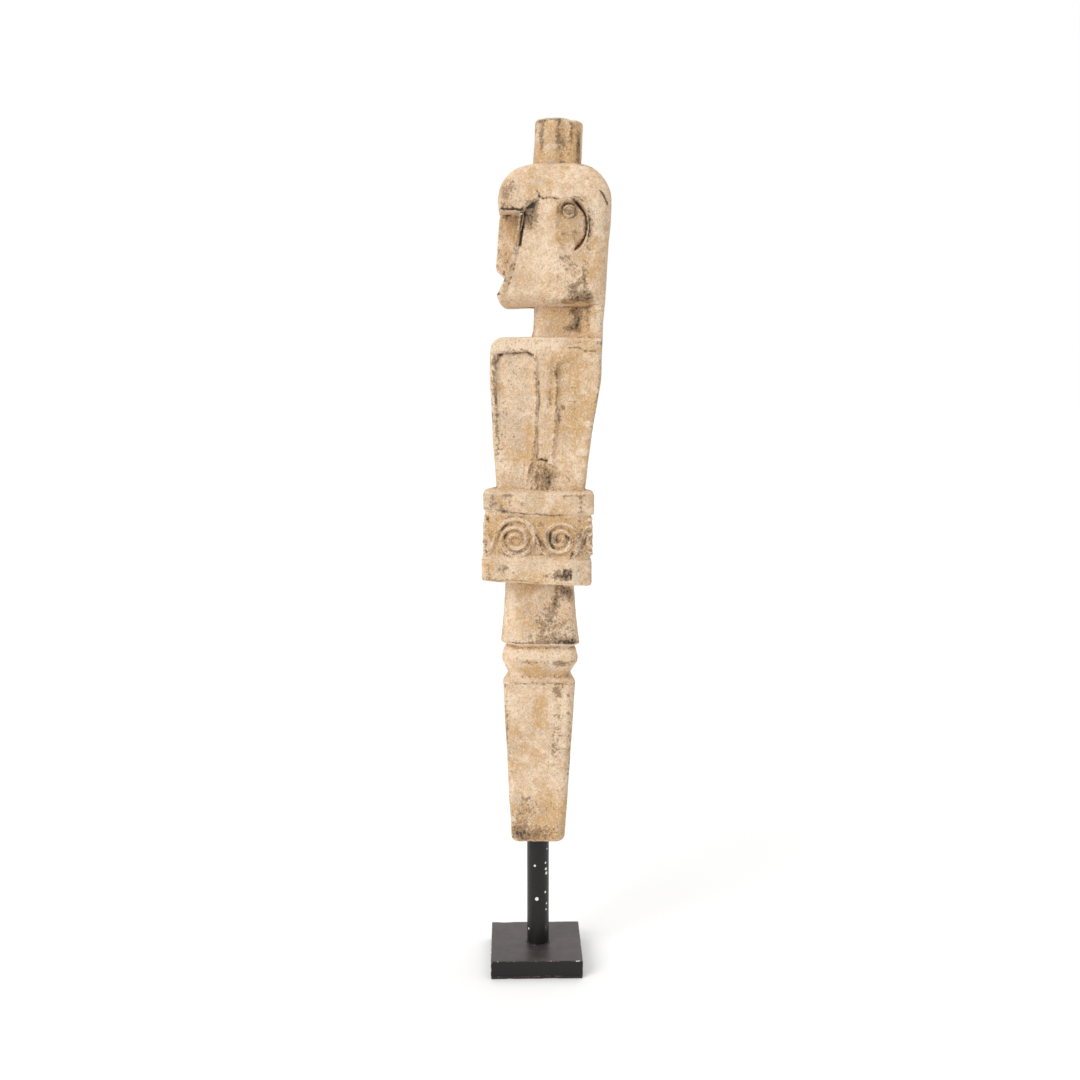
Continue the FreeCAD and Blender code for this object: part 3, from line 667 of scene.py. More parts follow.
# Stains seen on the left side: (y, z, reach along y, reach along z, strength).
SIDE_STAINS = [
    (32, 664, 7, 7, 0.7), (40, 655, 12, 5, 1.15), (26, 650, 8, 2.5, 0.9),
    (34, 643, 5, 4, 1.25), (37, 632, 4, 8, 1.4), (31, 629, 4, 4, 1.0),
    (24, 628, 5, 3, 0.6), (46, 640, 2.5, 16, 0.7), (31, 682, 6, 5, 0.45),
    (42, 673, 1.6, 12, 0.9), (24, 691, 6, 3, 0.6), (6, 654, 26, 2.2, 0.6),
    (-7, 733, 6, 8, 0.9), (-3, 738, 6, 4, 0.9), (-3, 725, 6, 9, 0.75),
    (-37, 659, 2, 2.5, 1.3), (-26, 652, 9, 2, 0.55), (-21, 674, 1.5, 9, 0.6),
    (24, 714, 4, 4, 0.55), (31, 712, 4, 4, 0.5), (19, 734, 2.5, 7, 0.5),
    (36, 742, 8, 2.5, 0.5), (47, 715, 2, 22, 0.3), (44, 716, 3, 12, 0.9),
    (-10, 722, 4, 6, 0.7), (-29, 745, 7, 16, 0.62), (-22, 755, 9, 8, 0.45),
    (44, 762, 4, 4, 0.5), (28, 733, 6.5, 6.5, 0.6), (-30, 690, 4, 22, 0.4),
    (3.5, 802, 2.6, 18, 1.1), (19, 802, 3, 15, 1.0), (24, 794, 4, 8, 0.5),
    (37.5, 792, 2.5, 18, 1.1), (12, 817.5, 14, 2, 1.0), (31, 806, 1.5, 12, 0.8),
    (-38, 600, 3, 5, 0.7), (6, 606, 5, 3, 0.6), (-38, 575, 4, 22, 0.30),
    (-36, 530, 5, 30, 0.25), (33, 562, 3, 14, 0.55), (22.8, 555.4, 3, 2.5, 1.1),
    (19.1, 546.7, 1.5, 4, 0.9), (16, 588, 1.6, 6, 0.8), (11.2, 567, 1.6, 14, 0.55),
    (30, 598, 9, 6, 0.25), (3, 494, 11, 13, 0.62), (10, 490, 6, 10, 0.55),
    (24, 490, 8, 5, 0.35), (-27, 476, 6, 1.6, 1.1), (-25.7, 469, 1.6, 3, 0.9),
    (-36, 466, 8, 8, 0.6), (-15, 468, 3, 2, 0.8), (5, 470, 3, 3, 0.5),
    (40, 468, 3, 8, 0.6), (33, 476, 8, 1.5, 0.7), (-42, 470, 2, 6, 0.7),
    (-30, 409, 3, 2, 0.9), (-24, 404, 2, 2, 1.0), (0, 405, 4, 2, 0.6),
    (10, 401, 4, 2, 0.7), (-8.3, 475.2, 2, 1.2, 1.0), (24, 470, 1.6, 7, 0.6),
    (14, 463, 7, 4, 0.35), (-30.7, 461, 4, 1.2, 1.2),
    (-46.3, 453, 1.6, 1.6, 1.3), (-38.6, 453.4, 1.2, 1.4, 1.2),
    (-48.6, 427, 2, 12, 0.6), (38.6, 451.3, 1.2, 1.2, 1.2), (42, 432, 5, 12, 0.45),
    (3, 449, 3, 3, 0.6), (-20, 422, 16, 3, 0.35), (18, 433, 2, 3, 0.8),
    (-46, 405, 2, 8, 0.9), (-34, 406, 5, 4, 0.85), (-15, 401, 5, 3, 0.45),
    (4, 400, 8, 2.5, 0.4), (40, 404, 6, 4, 0.35),
    (22, 384, 6, 6, 1.15), (30, 380, 4, 6, 1.0), (17, 373, 5, 6, 0.95),
    (12, 362, 8, 10, 0.68), (4, 350, 10, 9, 0.66), (24, 348, 12, 10, 0.68),
    (10, 338, 22, 4, 0.75), (30, 335, 5, 3, 0.9), (18, 315, 8, 7, 0.35),
    (-8, 314.5, 13, 2, 0.75), (25, 313.5, 12, 2.6, 0.8), (18.5, 286, 4.5, 6, 0.8),
    (19, 258, 5.5, 30, 0.45), (16, 228, 6, 12, 0.45), (-12, 178, 5, 5, 0.6),
    (-18, 143, 9, 10, 0.85), (-6, 139, 14, 8, 0.7), (10, 142, 14, 8, 0.55),
    (-14, 162, 10, 10, 0.5), (4, 170, 16, 12, 0.25), (-30, 220, 2, 70, 0.5),
    (30, 240, 2, 50, 0.4),
]

# Dark lines on the left side: corner points (y, z), half width, strength.
SIDE_LINES = [
    (EAR_CRACK, 1.1, 1.7),
    ([(-32, 734.2), (-26.8, 733.2), (-21.4, 734.2), (-13.6, 732.8)], 1.3, 2.4),
    ([(-13.6, 731), (-14.3, 717.8), (-14.9, 709.3), (-16, 703)], 1.3, 1.8),
    ([(-0.4, 750), (1.3, 746.1), (4.5, 743.4), (11, 744), (18.5, 742.6)], 0.9, 1.1),
    ([(56.5, 750.2), (59.8, 745), (62.5, 738.6)], 1.0, 1.3),
    ([(-36.5, 602), (-31.6, 606), (-21.7, 606), (-9.4, 607.6), (-4.4, 604)], 1.0, 1.4),
    ([(0.2, 584), (1.6, 565), (0.4, 548), (-0.3, 528), (-0.8, 511)], 0.9, 0.45),
    ([(-41.5, 600), (-41, 577), (-38, 562), (-36.9, 533), (-34.5, 508)], 0.8, 0.5),
    ([(-1, 507.5), (3, 509), (8, 507)], 1.0, 1.2),
    ([(28, 611), (38, 610.5), (43, 607), (54, 607)], 0.8, 0.9),
    ([(-33, 444), (-28, 449)], 1.0, 1.3), ([(-28.8, 442), (-31.5, 436)], 1.0, 1.2),
    ([(12, 441), (11.6, 433), (14.5, 426.5)], 1.0, 1.5),
    ([(26, 438), (29, 434.5)], 1.0, 1.3), ([(32.4, 423), (31, 418)], 0.9, 1.4),
    ([(-1.6, 438.5), (3.2, 429.5)], 1.2, 0.9), ([(-22, 411), (-19, 408.4)], 1.0, 1.6),
    ([(-28, 334), (34, 333.6)], 0.9, 0.8), ([(-27.6, 294.2), (34, 294.2)], 0.8, 0.9),
    ([(-24, 459.6), (-7, 458.6), (14, 457), (24, 457.6)], 0.9, 0.9),
    ([(-45, 397), (-20, 396.5), (0, 394)], 0.9, 0.9),
]

# The dark square scrap on the belt's lower tier, and ochre patches, as above.
SCRAP = (22.8, 402.0, 8.8, 5.6)
OCHRE_PATCHES = [
    (12, 784, 22, 9, 1.1), (32, 800, 10, 20, 1.1), (10, 803, 14, 14, 0.5),
    (28, 716, 12, 15, 1.4),
    (6, 752, 12, 6, 0.35), (-8, 765, 8, 6, 0.4), (16, 738, 4, 6, 0.5),
    (22, 638, 20, 14, 0.9), (50, 665, 8, 60, 0.6), (30, 600, 16, 12, 0.9),
    (36, 555, 16, 44, 0.7), (4, 494, 12, 12, 0.9), (14, 560, 6, 40, 0.4),
    (-26, 560, 8, 24, 0.35), (-8, 520, 6, 20, 0.4),
    (-22, 434, 6, 6, 0.2), (3, 446, 5, 7, 0.9), (0, 424, 7, 6, 0.8),
    (20, 418, 16, 5, 0.7), (20, 452, 16, 4, 0.4), (36, 470, 8, 6, 0.4),
    (-4, 374, 18, 14, 0.5), (-6, 306, 24, 4, 0.7), (16, 302, 20, 3, 0.8),
    (4, 253, 7, 5, 0.8), (-1, 225, 5, 4, 0.8), (2, 150, 30, 26, 1.1),
    (4, 195, 30, 26, 0.45), (-30, 430, 14, 16, 0.4), (30, 436, 18, 16, 0.7),
    (0, 329, 36, 2, 0.6), (-26, 716, 7, 14, 0.7), (0, 396, 40, 2, 0.3),
]


# Whiter patches on the left side, as above: thick wash, with painted highlight on lit
# crests, ledges and lips.
PALE_WASH_AND_HIGHLIGHT_PATCHES = [
    (-22, 613, 24, 6, 1.0), (14, 611, 22, 6, 0.7), (0, 322, 50, 5, 1.0),
    (38, 717, 3, 9, 1.0), (31, 702.5, 5, 4, 1.2), (21, 698, 9, 3.5, 1.0),
    (-8, 700, 12, 26, 0.5), (-22, 612, 30, 9, 0.8), (-20, 748, 14, 8, 0.6),
    (-16, 744, 12, 8, 0.5),
    (-5, 416, 34, 2, 1.0), (10, 620, 16, 4, 0.6), (0, 477, 50, 2, 0.6),
    (-28, 372, 4, 36, 0.6),
]


def patches(spots, y, z):
    """Soft elliptical patches added together."""
    return sum(strength * np.exp(-((y - at_y) / reach_y) ** 2
                                 - ((z - at_z) / reach_z) ** 2)
               for at_y, at_z, reach_y, reach_z, strength in spots)


def faces_left(normals):
    """1 where the surface faces the left side, 0 elsewhere."""
    return step_up(normals[:, 0], 0.2, 0.6)


def stains(points, normals):
    """Dark stains: those seen on the left side, and others all round."""
    y, z = points[:, 1], points[:, 2]
    left = faces_left(normals)
    seen = patches(SIDE_STAINS, y, z)
    wobble = 0.7 * lattice_noise(points, 6, 101)
    fading = 0.95 + 0.45 * lattice_noise(points, 5, 103)
    for path, width, strength in SIDE_LINES:
        seen += fading * strength * near_path(y + wobble, z + wobble, path, width)
    at_y, at_z, half_y, half_z = SCRAP
    scrap = (step_up(half_y - np.abs(y - at_y), -0.6, 0.8)
             * step_up(half_z - np.abs(z - at_z), -0.6, 0.8))
    seen += scrap * (1.3 + 0.035 * (y - at_y) - 0.03 * (z - at_z))
    elsewhere = np.clip(2.4 * (rough_noise(points, (20, 20, 30), 57) - 0.26), 0, 0.8)
    streaks = np.clip(2.4 * (rough_noise(points, (7, 7, 60), 59) - 0.42), 0, 0.6)
    return seen * left + (elsewhere + streaks) * (1 - left)


def ochre(points, normals):
    """Where the bare ochre wood shows: seen patches, and others all round."""
    left = faces_left(normals)
    elsewhere = np.clip(1.8 * (rough_noise(points, (24, 24, 36), 91) - 0.15), 0, 0.8)
    return (left * patches(OCHRE_PATCHES, points[:, 1], points[:, 2])
            + (1 - left) * elsewhere)


def pale_wash_and_highlight(points, normals):
    """Where the wash is thick, with painted highlight on shoulders, moulding and some
    edges; painted top light on upward faces elsewhere.
    """
    left = faces_left(normals)
    # painted top light: faces turned upwards are made whiter
    top = 0.6 * step_up(normals[:, 2], 0.3, 0.8)
    return left * patches(PALE_WASH_AND_HIGHLIGHT_PATCHES, points[:, 1], points[:, 2]) + (1 - left) * top


def carved_figure():
    """The detailed carving, with masks for its grime, hollows and worn edges, and painted
    shade, highlight and top light.
    """
    field = carving_field()
    vertices, faces = field.surface()
    thing = mesh_object("carved_figure_detail", vertices, faces)
    mesh = thing.data
    points = points_of(mesh)
    normals = normals_of(mesh)
    move_points(mesh, points + normals * weather(points)[:, None])
    thinned(thing, CARVING_TRIANGLES, 0.25 + stains(points, normals))
    mesh = thing.data
    points = points_of(mesh)
    normals = normals_of(mesh)
    unworn = points - normals * weather(points)[:, None]
    # Share of wood round each point, high in hollows and sheltered places; these masks
    # paint shade there as well as grime and ochre.
    near = field.sample(field.fill_around(1.5), unworn) - 0.5
    wide = field.sample(field.fill_around(5), unworn) - 0.5
    upright = step_up(0.5 - np.abs(normals[:, 2]), 0, 0.3)
    arris = np.clip(near * -5, 0, 1) * upright
    x, y, z = points.T
    carved = scroll_depth(x, y, z, y * far_side_taper(x)) / SCROLL_DEPTH
    masks = {
        "hollow": near * 5,
        "edge": near * -5 * (1 - 0.8 * upright),
        "shelter": wide * 4,
        "stain": stains(points, normals) + 0.75 * arris + 0.16 * carved,
        "ochre": ochre(points, normals) + 0.55 * carved,
        # thick wash with painted highlight, and painted top light on upward faces
        "pale_wash_and_highlight": pale_wash_and_highlight(points, normals),
    }
    for name, values in masks.items():
        set_mask(mesh, name, values)
    mesh.shade_smooth()
    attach(thing, "figure")
    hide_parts("carved_figure")
    return thing


# ---------------------------------------------------------------- materials

class Shader:
    """A material's node tree, with short calls for the nodes used here."""

    def __init__(self, name):
        self.material = bpy.data.materials.new(name)
        self.material.use_nodes = True
        self.tree = self.material.node_tree
        self.tree.nodes.clear()
        self.place = self.node("ShaderNodeTexCoord", {}).outputs["Object"]
        self.surface = self.node("ShaderNodeBsdfPrincipled", {})
        self.node("ShaderNodeOutputMaterial", {0: self.surface.outputs[0]})

    def node(self, kind, inputs, **settings):
        """A new node; each input gets a link or a value."""
        made = self.tree.nodes.new(kind)
        for key, value in settings.items():
            setattr(made, key, value)
        for key, value in inputs.items():
            self.feed(made.inputs[key], value)
        return made

    def feed(self, socket, value):
        if isinstance(value, bpy.types.NodeSocket):
            self.tree.links.new(value, socket)
        else:
            socket.default_value = value

    def mask(self, name):
        return self.node("ShaderNodeAttribute", {}, attribute_name=name).outputs["Fac"]

    def noise(self, scale, detail=4, rough=0.55, stretch=(1, 1, 1), twist=0.0):
        place = self.node("ShaderNodeMapping", {"Scale": stretch, "Vector": self.place})
        inputs = {"Vector": place.outputs[0], "Scale": scale, "Detail": detail,
                  "Roughness": rough, "Distortion": twist}
        return self.node("ShaderNodeTexNoise", inputs).outputs["Fac"]

    def share(self, value, amount):
        inputs = {0: value, 1: amount}
        return self.node("ShaderNodeMath", inputs, operation="MULTIPLY").outputs[0]

    def total(self, a, b):
        return self.node("ShaderNodeMath", {0: a, 1: b}, operation="ADD").outputs[0]

    def window(self, value, start, end):
        """Smooth rise of a value from 0 at start to 1 at end."""
        inputs = {"Value": value, "From Min": start, "From Max": end}
        made = self.node("ShaderNodeMapRange", inputs, interpolation_type="SMOOTHSTEP")
        return made.outputs[0]

    def mix(self, share, low, high):
        low, high = (colour if isinstance(colour, bpy.types.NodeSocket) else (*colour, 1)
                     for colour in (low, high))
        inputs = {0: share, 6: low, 7: high}
        return self.node("ShaderNodeMix", inputs, data_type="RGBA").outputs[2]

    def bump(self, height, distance, strength, under=None):
        inputs = {"Height": height, "Distance": distance, "Strength": strength}
        if under is not None:
            inputs["Normal"] = under
        return self.node("ShaderNodeBump", inputs).outputs[0]

    def finish(self, **inputs):
        """The material, with the surface's inputs linked or set."""
        for name, value in inputs.items():
            self.feed(self.surface.inputs[name.replace("_", " ")], value)
        return self.material



CREAM = (0.755, 0.54, 0.355)
CHALK = (0.88, 0.70, 0.515)
TAN = (0.54, 0.345, 0.185)
OCHRE = (0.58, 0.335, 0.115)
GREY = (0.44, 0.36, 0.285)
BROWN = (0.19, 0.115, 0.062)
SOOT = (0.038, 0.027, 0.021)


def limewashed_wood():
    """Cream wash over old wood: ochre and grey patina, dark grime in hollows; painted shade
    in hollows and sheltered places, painted highlight on crests and top faces.
    """
    s = Shader("limewashed_wood")
    hollow, edge, shelter, stain, bare, wash_and_highlight = (
        s.mask(name) for name in ("hollow", "edge", "shelter", "stain", "ochre", "pale_wash_and_highlight"))
    broad = s.noise(24, 4, 0.6)
    middle = s.noise(105, 5, 0.62, twist=0.6)
    small = s.noise(230, 5, 0.66, twist=0.4)
    grain = s.noise(620, 3, 0.7)
    fleck = s.noise(430, 5, 0.75)
    streak = s.noise(260, 4, 0.6, stretch=(1, 1, 0.1))

    tan = s.total(s.share(broad, 0.7), s.share(small, 0.3))
    # ochre, made stronger in sheltered places as painted shade
    warm = s.total(s.noise(46, 5, 0.64, twist=0.5),
                   s.total(s.share(shelter, 0.16), s.share(bare, 0.23)))
    cool = s.share(s.window(s.noise(34, 5, 0.66), 0.48, 0.62),
                   s.window(small, 0.42, 0.58))
    # grime and stains, with painted shade in hollows
    dirt_and_shade = s.total(s.share(hollow, 0.12), s.share(stain, 0.20))
    spread = s.total(s.total(s.share(fleck, 0.6), s.share(small, 0.4)), dirt_and_shade)
    rubbed = s.share(s.window(edge, 0.25, 0.9), s.window(small, 0.38, 0.52))
    # Each layer lies over those before it: where, how much, and its colour.
    layers = [
        (s.window(tan, 0.46, 0.60), 0.6, TAN),
        (s.window(warm, 0.53, 0.68), 0.8, OCHRE),
        (cool, 0.65, GREY),
        (s.window(small, 0.49, 0.37), 0.55, TAN),
        (s.window(small, 0.53, 0.62), 0.45, CHALK),
        # painted highlight on lit crests and painted top light, with thick wash
        (s.share(wash_and_highlight, s.window(small, 0.36, 0.56)), 0.8, CHALK),
        (s.window(grain, 0.49, 0.38), 0.45, TAN),
        (s.window(fleck, 0.45, 0.36), 0.50, GREY),
        (s.window(grain, 0.51, 0.62), 0.55, CHALK),
        (s.window(streak, 0.56, 0.70), 0.2, TAN),
        (s.window(spread, 0.59, 0.67), 0.72, BROWN),
        (s.window(spread, 0.71, 0.80), 0.9, SOOT),
        (rubbed, 0.8, CHALK),
    ]
    colour = s.mix(s.window(middle, 0.43, 0.57), CREAM, CHALK)
    for where, amount, shade in layers:
        colour = s.mix(s.share(where, amount), colour, shade)
    lumpy = s.bump(small, 0.0022, 0.75)
    return s.finish(Base_Color=colour, Roughness=0.88, Specular_IOR_Level=0.25,
                    Normal=s.bump(grain, 0.0008, 0.75, under=lumpy))


PAINT = (0.0075, 0.0062, 0.0060)
BARE_PAINT = (0.62, 0.50, 0.40)
# Upward faces of the block: dusty colour that also paints top light.
DUST_AND_TOP_LIGHT = (0.105, 0.082, 0.080)
DUST_SPECK = (0.10, 0.085, 0.08)
SCUFF = (0.20, 0.12, 0.08)
FILLER = (0.82, 0.78, 0.74)
RUBBER_DARK = (0.016, 0.011, 0.009)
RUBBER_LIGHT = (0.035, 0.022, 0.016)
GLUE_BROWN = (0.30, 0.19, 0.12)
STEEL_DARK = (0.42, 0.42, 0.44)
STEEL_LIGHT = (0.62, 0.62, 0.64)


def black_paint(name, roughness):
    """Satin black paint, dusty on top with painted top light, chipped along rims and at
    marked spots.
    """
    s = Shader(name)
    cloud = s.noise(80, 5, 0.6)
    dust_and_top_light = s.noise(900, 3, 0.7)
    colour = s.mix(cloud, tuple(c * 0.7 for c in PAINT), tuple(c * 1.5 for c in PAINT))
    colour = s.mix(s.share(s.window(dust_and_top_light, 0.60, 0.72), 0.25), colour, DUST_SPECK)
    # painted top light: upward faces are mixed towards a lighter dusty colour
    colour = s.mix(s.share(s.mask("dust_and_top_light"), cloud), colour, DUST_AND_TOP_LIGHT)
    rim = s.total(s.share(s.mask("rim"), 0.42), s.noise(190, 5, 0.72))
    colour = s.mix(s.window(rim, 0.89, 0.93), colour, SCUFF)
    colour = s.mix(s.window(rim, 0.94, 0.98), colour, BARE_PAINT)
    chip = s.total(s.mask("chip"), s.share(s.noise(700, 3), 0.5))
    colour = s.mix(s.window(chip, 0.50, 0.60), colour, FILLER)
    gloss = s.total(s.share(cloud, 0.16), roughness - 0.08)
    fine = s.bump(dust_and_top_light, 0.00012, 0.5)
    return s.finish(Base_Color=colour, Roughness=gloss, IOR=1.38,
                    Normal=s.bump(cloud, 0.0006, 0.3, under=fine))


def underlay_rubber():
    """Dark brown rubber sheet with glue-brown flecks."""
    s = Shader("underlay_rubber")
    fleck = s.noise(500, 4, 0.7)
    colour = s.mix(s.noise(70, 3), RUBBER_DARK, RUBBER_LIGHT)
    colour = s.mix(s.share(s.window(fleck, 0.58, 0.70), 0.5), colour, GLUE_BROWN)
    return s.finish(Base_Color=colour, Roughness=0.8, Normal=s.bump(fleck, 0.0003, 0.6))


def brushed_steel():
    """Zinc-plated steel of the hidden screw, with fine turning marks."""
    s = Shader("brushed_steel")
    marks = s.noise(260, 3, stretch=(1, 1, 8))
    return s.finish(Base_Color=s.mix(marks, STEEL_DARK, STEEL_LIGHT), Metallic=1.0,
                    Roughness=s.total(s.share(marks, 0.2), 0.25))


# ---------------------------------------------------------------- the stand

BLOCK_TURN = math.radians(1.3)
LONGEST_EDGE = 2.4
RIM_WIDTH = 2.6


def middle_and_size(node):
    """A node's box in millimetres, as its middle and its size."""
    low, high = (np.array(corner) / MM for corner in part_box(node))
    return (low + high) / 2, high - low


def worn_slab(name, node, corner, wear, seed):
    """A square slab, a little turned, with rounded and dented edges."""
    middle, size = middle_and_size(node)
    side = size[0] / (math.cos(BLOCK_TURN) + math.sin(BLOCK_TURN))
    half = np.array([side / 2, side / 2, size[2] / 2])
    shape = bmesh.new()
    bmesh.ops.create_cube(shape, size=2)
    for vertex in shape.verts:
        vertex.co = Vector(half * np.array(vertex.co))
    bmesh.ops.bevel(shape, geom=shape.edges[:], offset=corner, segments=3, profile=0.5,
                    affect="EDGES")
    cuts = 5
    for _ in range(cuts):
        long_edges = [e for e in shape.edges if e.calc_length() > LONGEST_EDGE]
        bmesh.ops.subdivide_edges(shape, edges=long_edges, cuts=1, use_grid_fill=True)
    points = np.array([vertex.co for vertex in shape.verts])
    inward = half - np.abs(points)
    nearest_two = np.sort(inward, axis=1)[:, 1]
    rim = np.clip(1 - nearest_two / RIM_WIDTH, 0, 1)
    dents = np.maximum(rough_noise(points, 9, seed) - 0.15, 0) * wear * rim
    dents += rough_noise(points, 26, seed + 5) * 0.12 * rim
    shrink = 1 - np.maximum(dents, 0)[:, None] / half
    points = points * shrink
    c, s = math.cos(BLOCK_TURN), math.sin(BLOCK_TURN)
    turned = np.stack([points[:, 0] * c - points[:, 1] * s,
                       points[:, 0] * s + points[:, 1] * c, points[:, 2]], axis=1)
    placed = turned + middle
    for vertex, place in zip(shape.verts, placed * MM):
        vertex.co = Vector(place)
    bmesh.ops.triangulate(shape, faces=shape.faces[:])
    shape.verts.index_update()
    faces = np.array([[corner.index for corner in face.verts] for face in shape.faces])
    shape.free()
    order = np.lexsort(placed.T)
    faces = in_order(np.argsort(order)[faces])
    thing = stand_piece(mesh_object(name, placed[order], faces), node)
    set_mask(thing.data, "rim", rim[order])
    # upward faces: dusty, and painted top light
    set_mask(thing.data, "dust_and_top_light", step_up(normals_of(thing.data)[:, 2], 0.8, 1.0))
    return thing


def in_order(faces):
    """Triangles that each start at their lowest corner, in order of their corners."""
    start = faces.argmin(axis=1)[:, None]
    faces = np.take_along_axis(faces, (start + np.arange(3)) % 3, axis=1)
    return faces[np.lexsort(faces.T[::-1])]


def stand_piece(thing, node):
    """The finished piece, riding with the stand in place of its plain node."""
    thing.data.shade_smooth()
    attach(thing, "stand")
    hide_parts(node)
    return thing


def object_from(shape, name, node):
    mesh = bpy.data.meshes.new(name)
    shape.to_mesh(mesh)
    shape.free()
    return stand_piece(linked_object(name, mesh), node)


# Bare spots on the post: (angle in degrees from +X, height, radius).
POST_CHIPS = [(-6, 67.4, 1.9), (-17, 101.9, 1.2), (44, 104, 1.1), (47, 97.5, 1.5),
              (50, 93, 1.6), (43, 73.5, 1.2), (56, 118, 0.9), (40, 128, 1.0),
              (52, 61, 1.1), (48, 55, 1.0), (150, 88, 1.6), (205, 120, 1.3),
              (262, 70, 1.4), (300, 34, 1.2)]


def bridge_rings(shape, rings):
    """Bridge a list of closed rings of points with quads, and cap both ends."""
    made = [[shape.verts.new(point) for point in ring] for ring in rings]
    for low, high in zip(made, made[1:]):
        for i in range(len(low)):
            j = (i + 1) % len(low)
            shape.faces.new((low[i], low[j], high[j], high[i]))
    shape.faces.new(list(reversed(made[0])))
    shape.faces.new(made[-1])


def painted_post():
    """Round post with faint paint drips, bare chips and softened ends."""
    middle, size = middle_and_size("stand_post")
    radius = size[0] / 2
    bottom = middle[2] - size[2] / 2
    top = middle[2] + size[2] / 2
    around = 120
    heights = np.linspace(bottom, top, 260)
    angles = np.linspace(0, 2 * math.pi, around, endpoint=False)
    grid_angle, grid_height = np.meshgrid(angles, heights)
    flat = np.stack([radius * np.cos(grid_angle), radius * np.sin(grid_angle),
                     grid_height], axis=-1).reshape(-1, 3)
    swell = rough_noise(flat, (9, 9, 26), 71) * 0.06 - 0.08
    chip = np.zeros(len(flat))
    for angle, height, reach in POST_CHIPS:
        turn = np.radians(angle)
        spot = np.array([radius * math.cos(turn), radius * math.sin(turn), height])
        gap = np.linalg.norm(flat - spot, axis=1)
        chip = np.maximum(chip, np.clip(1.25 - gap / reach, 0, 1))
    end = np.minimum(grid_height - bottom, top - grid_height).ravel()
    swell = swell - 0.6 * np.clip(1 - end / 0.8, 0, 1) - 0.12 * np.clip(chip * 2, 0, 1)
    points = flat + swell[:, None] * flat * (1, 1, 0) / radius
    rings = (points * MM).reshape(len(heights), around, 3)
    shape = bmesh.new()
    bridge_rings(shape, rings.tolist())
    thing = object_from(shape, "painted_post", "stand_post")
    set_mask(thing.data, "chip", chip)
    edge_line = bell(np.degrees(grid_angle), 47, 5).ravel()
    set_mask(thing.data, "rim", 0.8 * edge_line)
    return thing


def glue_bead():
    """Uneven painted bead round the post's foot."""
    middle, size = middle_and_size("foot_glue")
    outer = size[0] / 2
    bottom = middle[2] - size[2] / 2
    around = 96
    inner = 10.9
    noise_reach = 40
    shape = bmesh.new()
    rings = []
    for step in np.linspace(0, 1, 7):
        ring = []
        for i in range(around):
            turn = 2 * math.pi * i / around
            place = noise_reach * np.array([[math.cos(turn), math.sin(turn), 0.0]])
            lump = 0.72 + 0.26 * float(rough_noise(place, 16, 83)[0])
            slope = math.pi / 2 * step
            reach = inner + (outer - inner) * lump * math.cos(slope)
            height = bottom + size[2] * lump * math.sin(slope)
            ring.append((reach * math.cos(turn) * MM, reach * math.sin(turn) * MM,
                         height * MM))
        rings.append(ring)
    bridge_rings(shape, rings)
    return object_from(shape, "glue_bead", "foot_glue")


# ---------------------------------------------------------------- the studio

CAMERA_PLACE = (1.2419, 0.002, 0.6054)
CAMERA_PITCH = 8.17
CAMERA_LENS = 130 / 3
FLOOR_REACH = 12.0
FLOOR_WHITE = (0.93, 0.93, 0.93, 1)
SKY_ON_OBJECT = 0.55


def camera():
    """Left side of the figure, from a little above its middle."""
    made = bpy.data.cameras.new("camera")
    made.sensor_width = 36
    made.lens = CAMERA_LENS
    made.clip_end = 20
    thing = linked_object("camera", made)
    thing.location = CAMERA_PLACE
    pitch = math.radians(CAMERA_PITCH)
    thing.rotation_euler = (math.pi / 2 - pitch, 0, math.pi / 2)
    bpy.context.scene.camera = thing


def soft_sun(name, direction, strength, softness):
    """A broad light shining from a direction."""
    made = bpy.data.lights.new(name, "SUN")
    made.energy = strength
    made.angle = math.radians(softness)
    thing = linked_object(name, made)
    thing.rotation_euler = Vector(direction).to_track_quat("Z", "Y").to_euler()


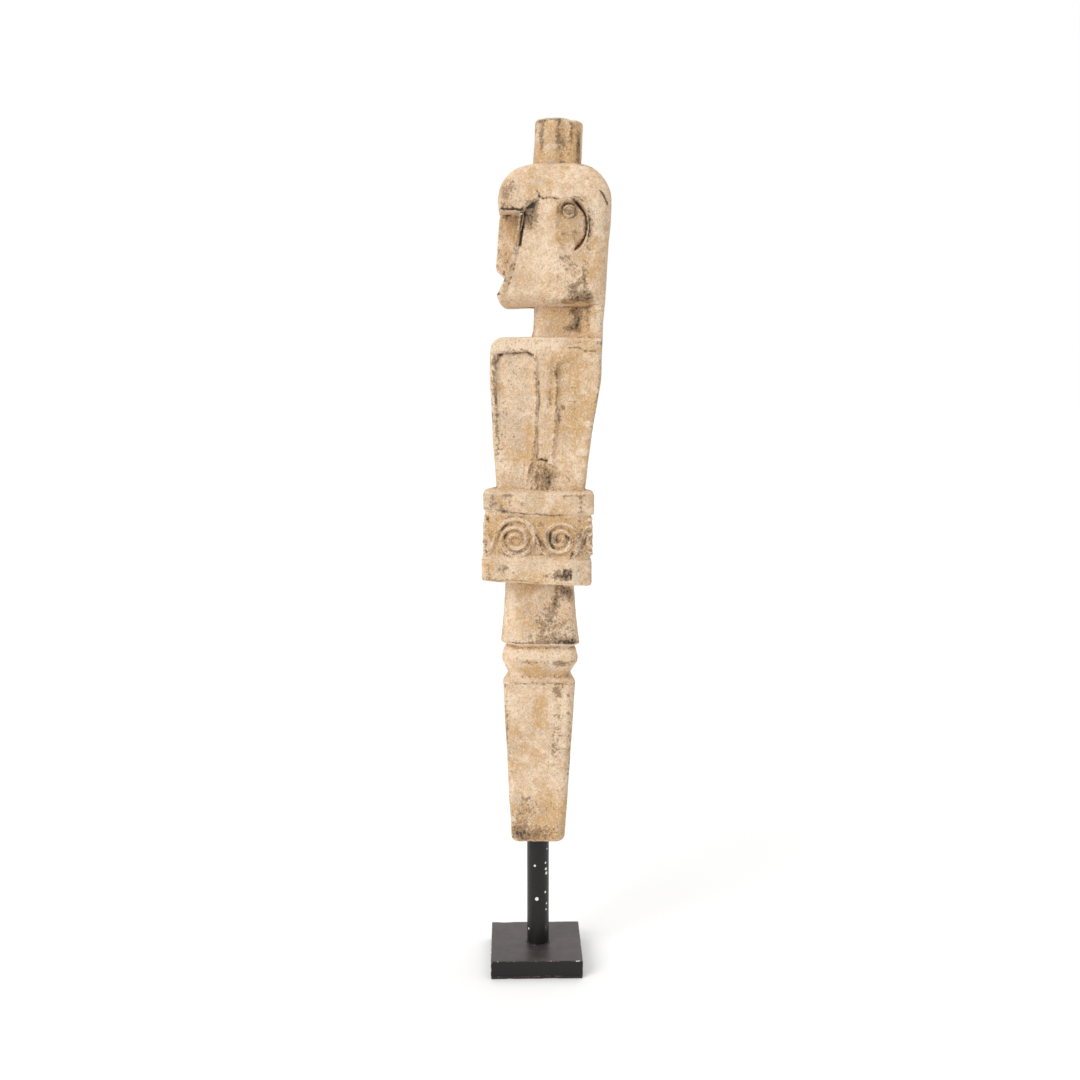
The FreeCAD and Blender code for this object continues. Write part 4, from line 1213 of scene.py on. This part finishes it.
def floor():
    mesh = bpy.data.meshes.new("floor")
    corners = [(-1, -1), (1, -1), (1, 1), (-1, 1)]
    mesh.from_pydata([(x * FLOOR_REACH, y * FLOOR_REACH, 0) for x, y in corners], [],
                     [(0, 1, 2, 3)])
    thing = linked_object("floor", mesh)
    material = bpy.data.materials.new("floor_paper")
    material.use_nodes = True
    surface = material.node_tree.nodes["Principled BSDF"]
    surface.inputs["Base Color"].default_value = FLOOR_WHITE
    surface.inputs["Roughness"].default_value = 0.9
    surface.inputs["Specular IOR Level"].default_value = 0.1
    mesh.materials.append(material)


def studio():
    """White surroundings and two broad lights; the lens sees pure white."""
    world = bpy.data.worlds.new("studio")
    world.use_nodes = True
    tree = world.node_tree
    backdrop = tree.nodes["Background"]
    backdrop.inputs[0].default_value = (1, 1, 1, 1)
    path = tree.nodes.new("ShaderNodeLightPath")
    seen = tree.nodes.new("ShaderNodeMath")
    seen.operation = "MAXIMUM"
    tree.links.new(path.outputs["Is Camera Ray"], seen.inputs[0])
    tree.links.new(path.outputs["Is Glossy Ray"], seen.inputs[1])
    level = tree.nodes.new("ShaderNodeMapRange")
    level.inputs["To Min"].default_value = SKY_ON_OBJECT
    level.inputs["To Max"].default_value = 1.0
    tree.links.new(seen.outputs[0], level.inputs["Value"])
    tree.links.new(level.outputs[0], backdrop.inputs[1])
    bpy.context.scene.world = world
    bpy.context.scene.view_settings.view_transform = "Standard"
    soft_sun("key", (0.72, -0.62, 0.62), 1.7, 35)
    soft_sun("top", (-0.25, 0.15, 1.0), 1.1, 60)


# ---------------------------------------------------------------- the scene

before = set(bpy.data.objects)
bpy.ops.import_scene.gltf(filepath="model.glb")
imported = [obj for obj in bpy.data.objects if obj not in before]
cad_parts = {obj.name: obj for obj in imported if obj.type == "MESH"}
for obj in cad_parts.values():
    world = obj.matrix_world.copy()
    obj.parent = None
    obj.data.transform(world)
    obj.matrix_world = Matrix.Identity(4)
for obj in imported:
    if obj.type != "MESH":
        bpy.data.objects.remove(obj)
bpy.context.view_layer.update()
camera()
studio()
floor()
carved_figure().data.materials.append(limewashed_wood())
block = worn_slab("painted_block", "base_block", 0.7, 0.8, 61)
block.data.materials.append(black_paint("black_block_paint", 0.36))
pad = worn_slab("rubber_pad", "base_underlay", 0.5, 0.9, 67)
pad.data.materials.append(underlay_rubber())
post = painted_post()
post.data.materials.append(black_paint("black_post_paint", 0.34))
bead = glue_bead()
bead.data.materials.append(black_paint("painted_glue", 0.25))
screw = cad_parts["post_screw"]
for slot in screw.material_slots:
    slot.material = brushed_steel()
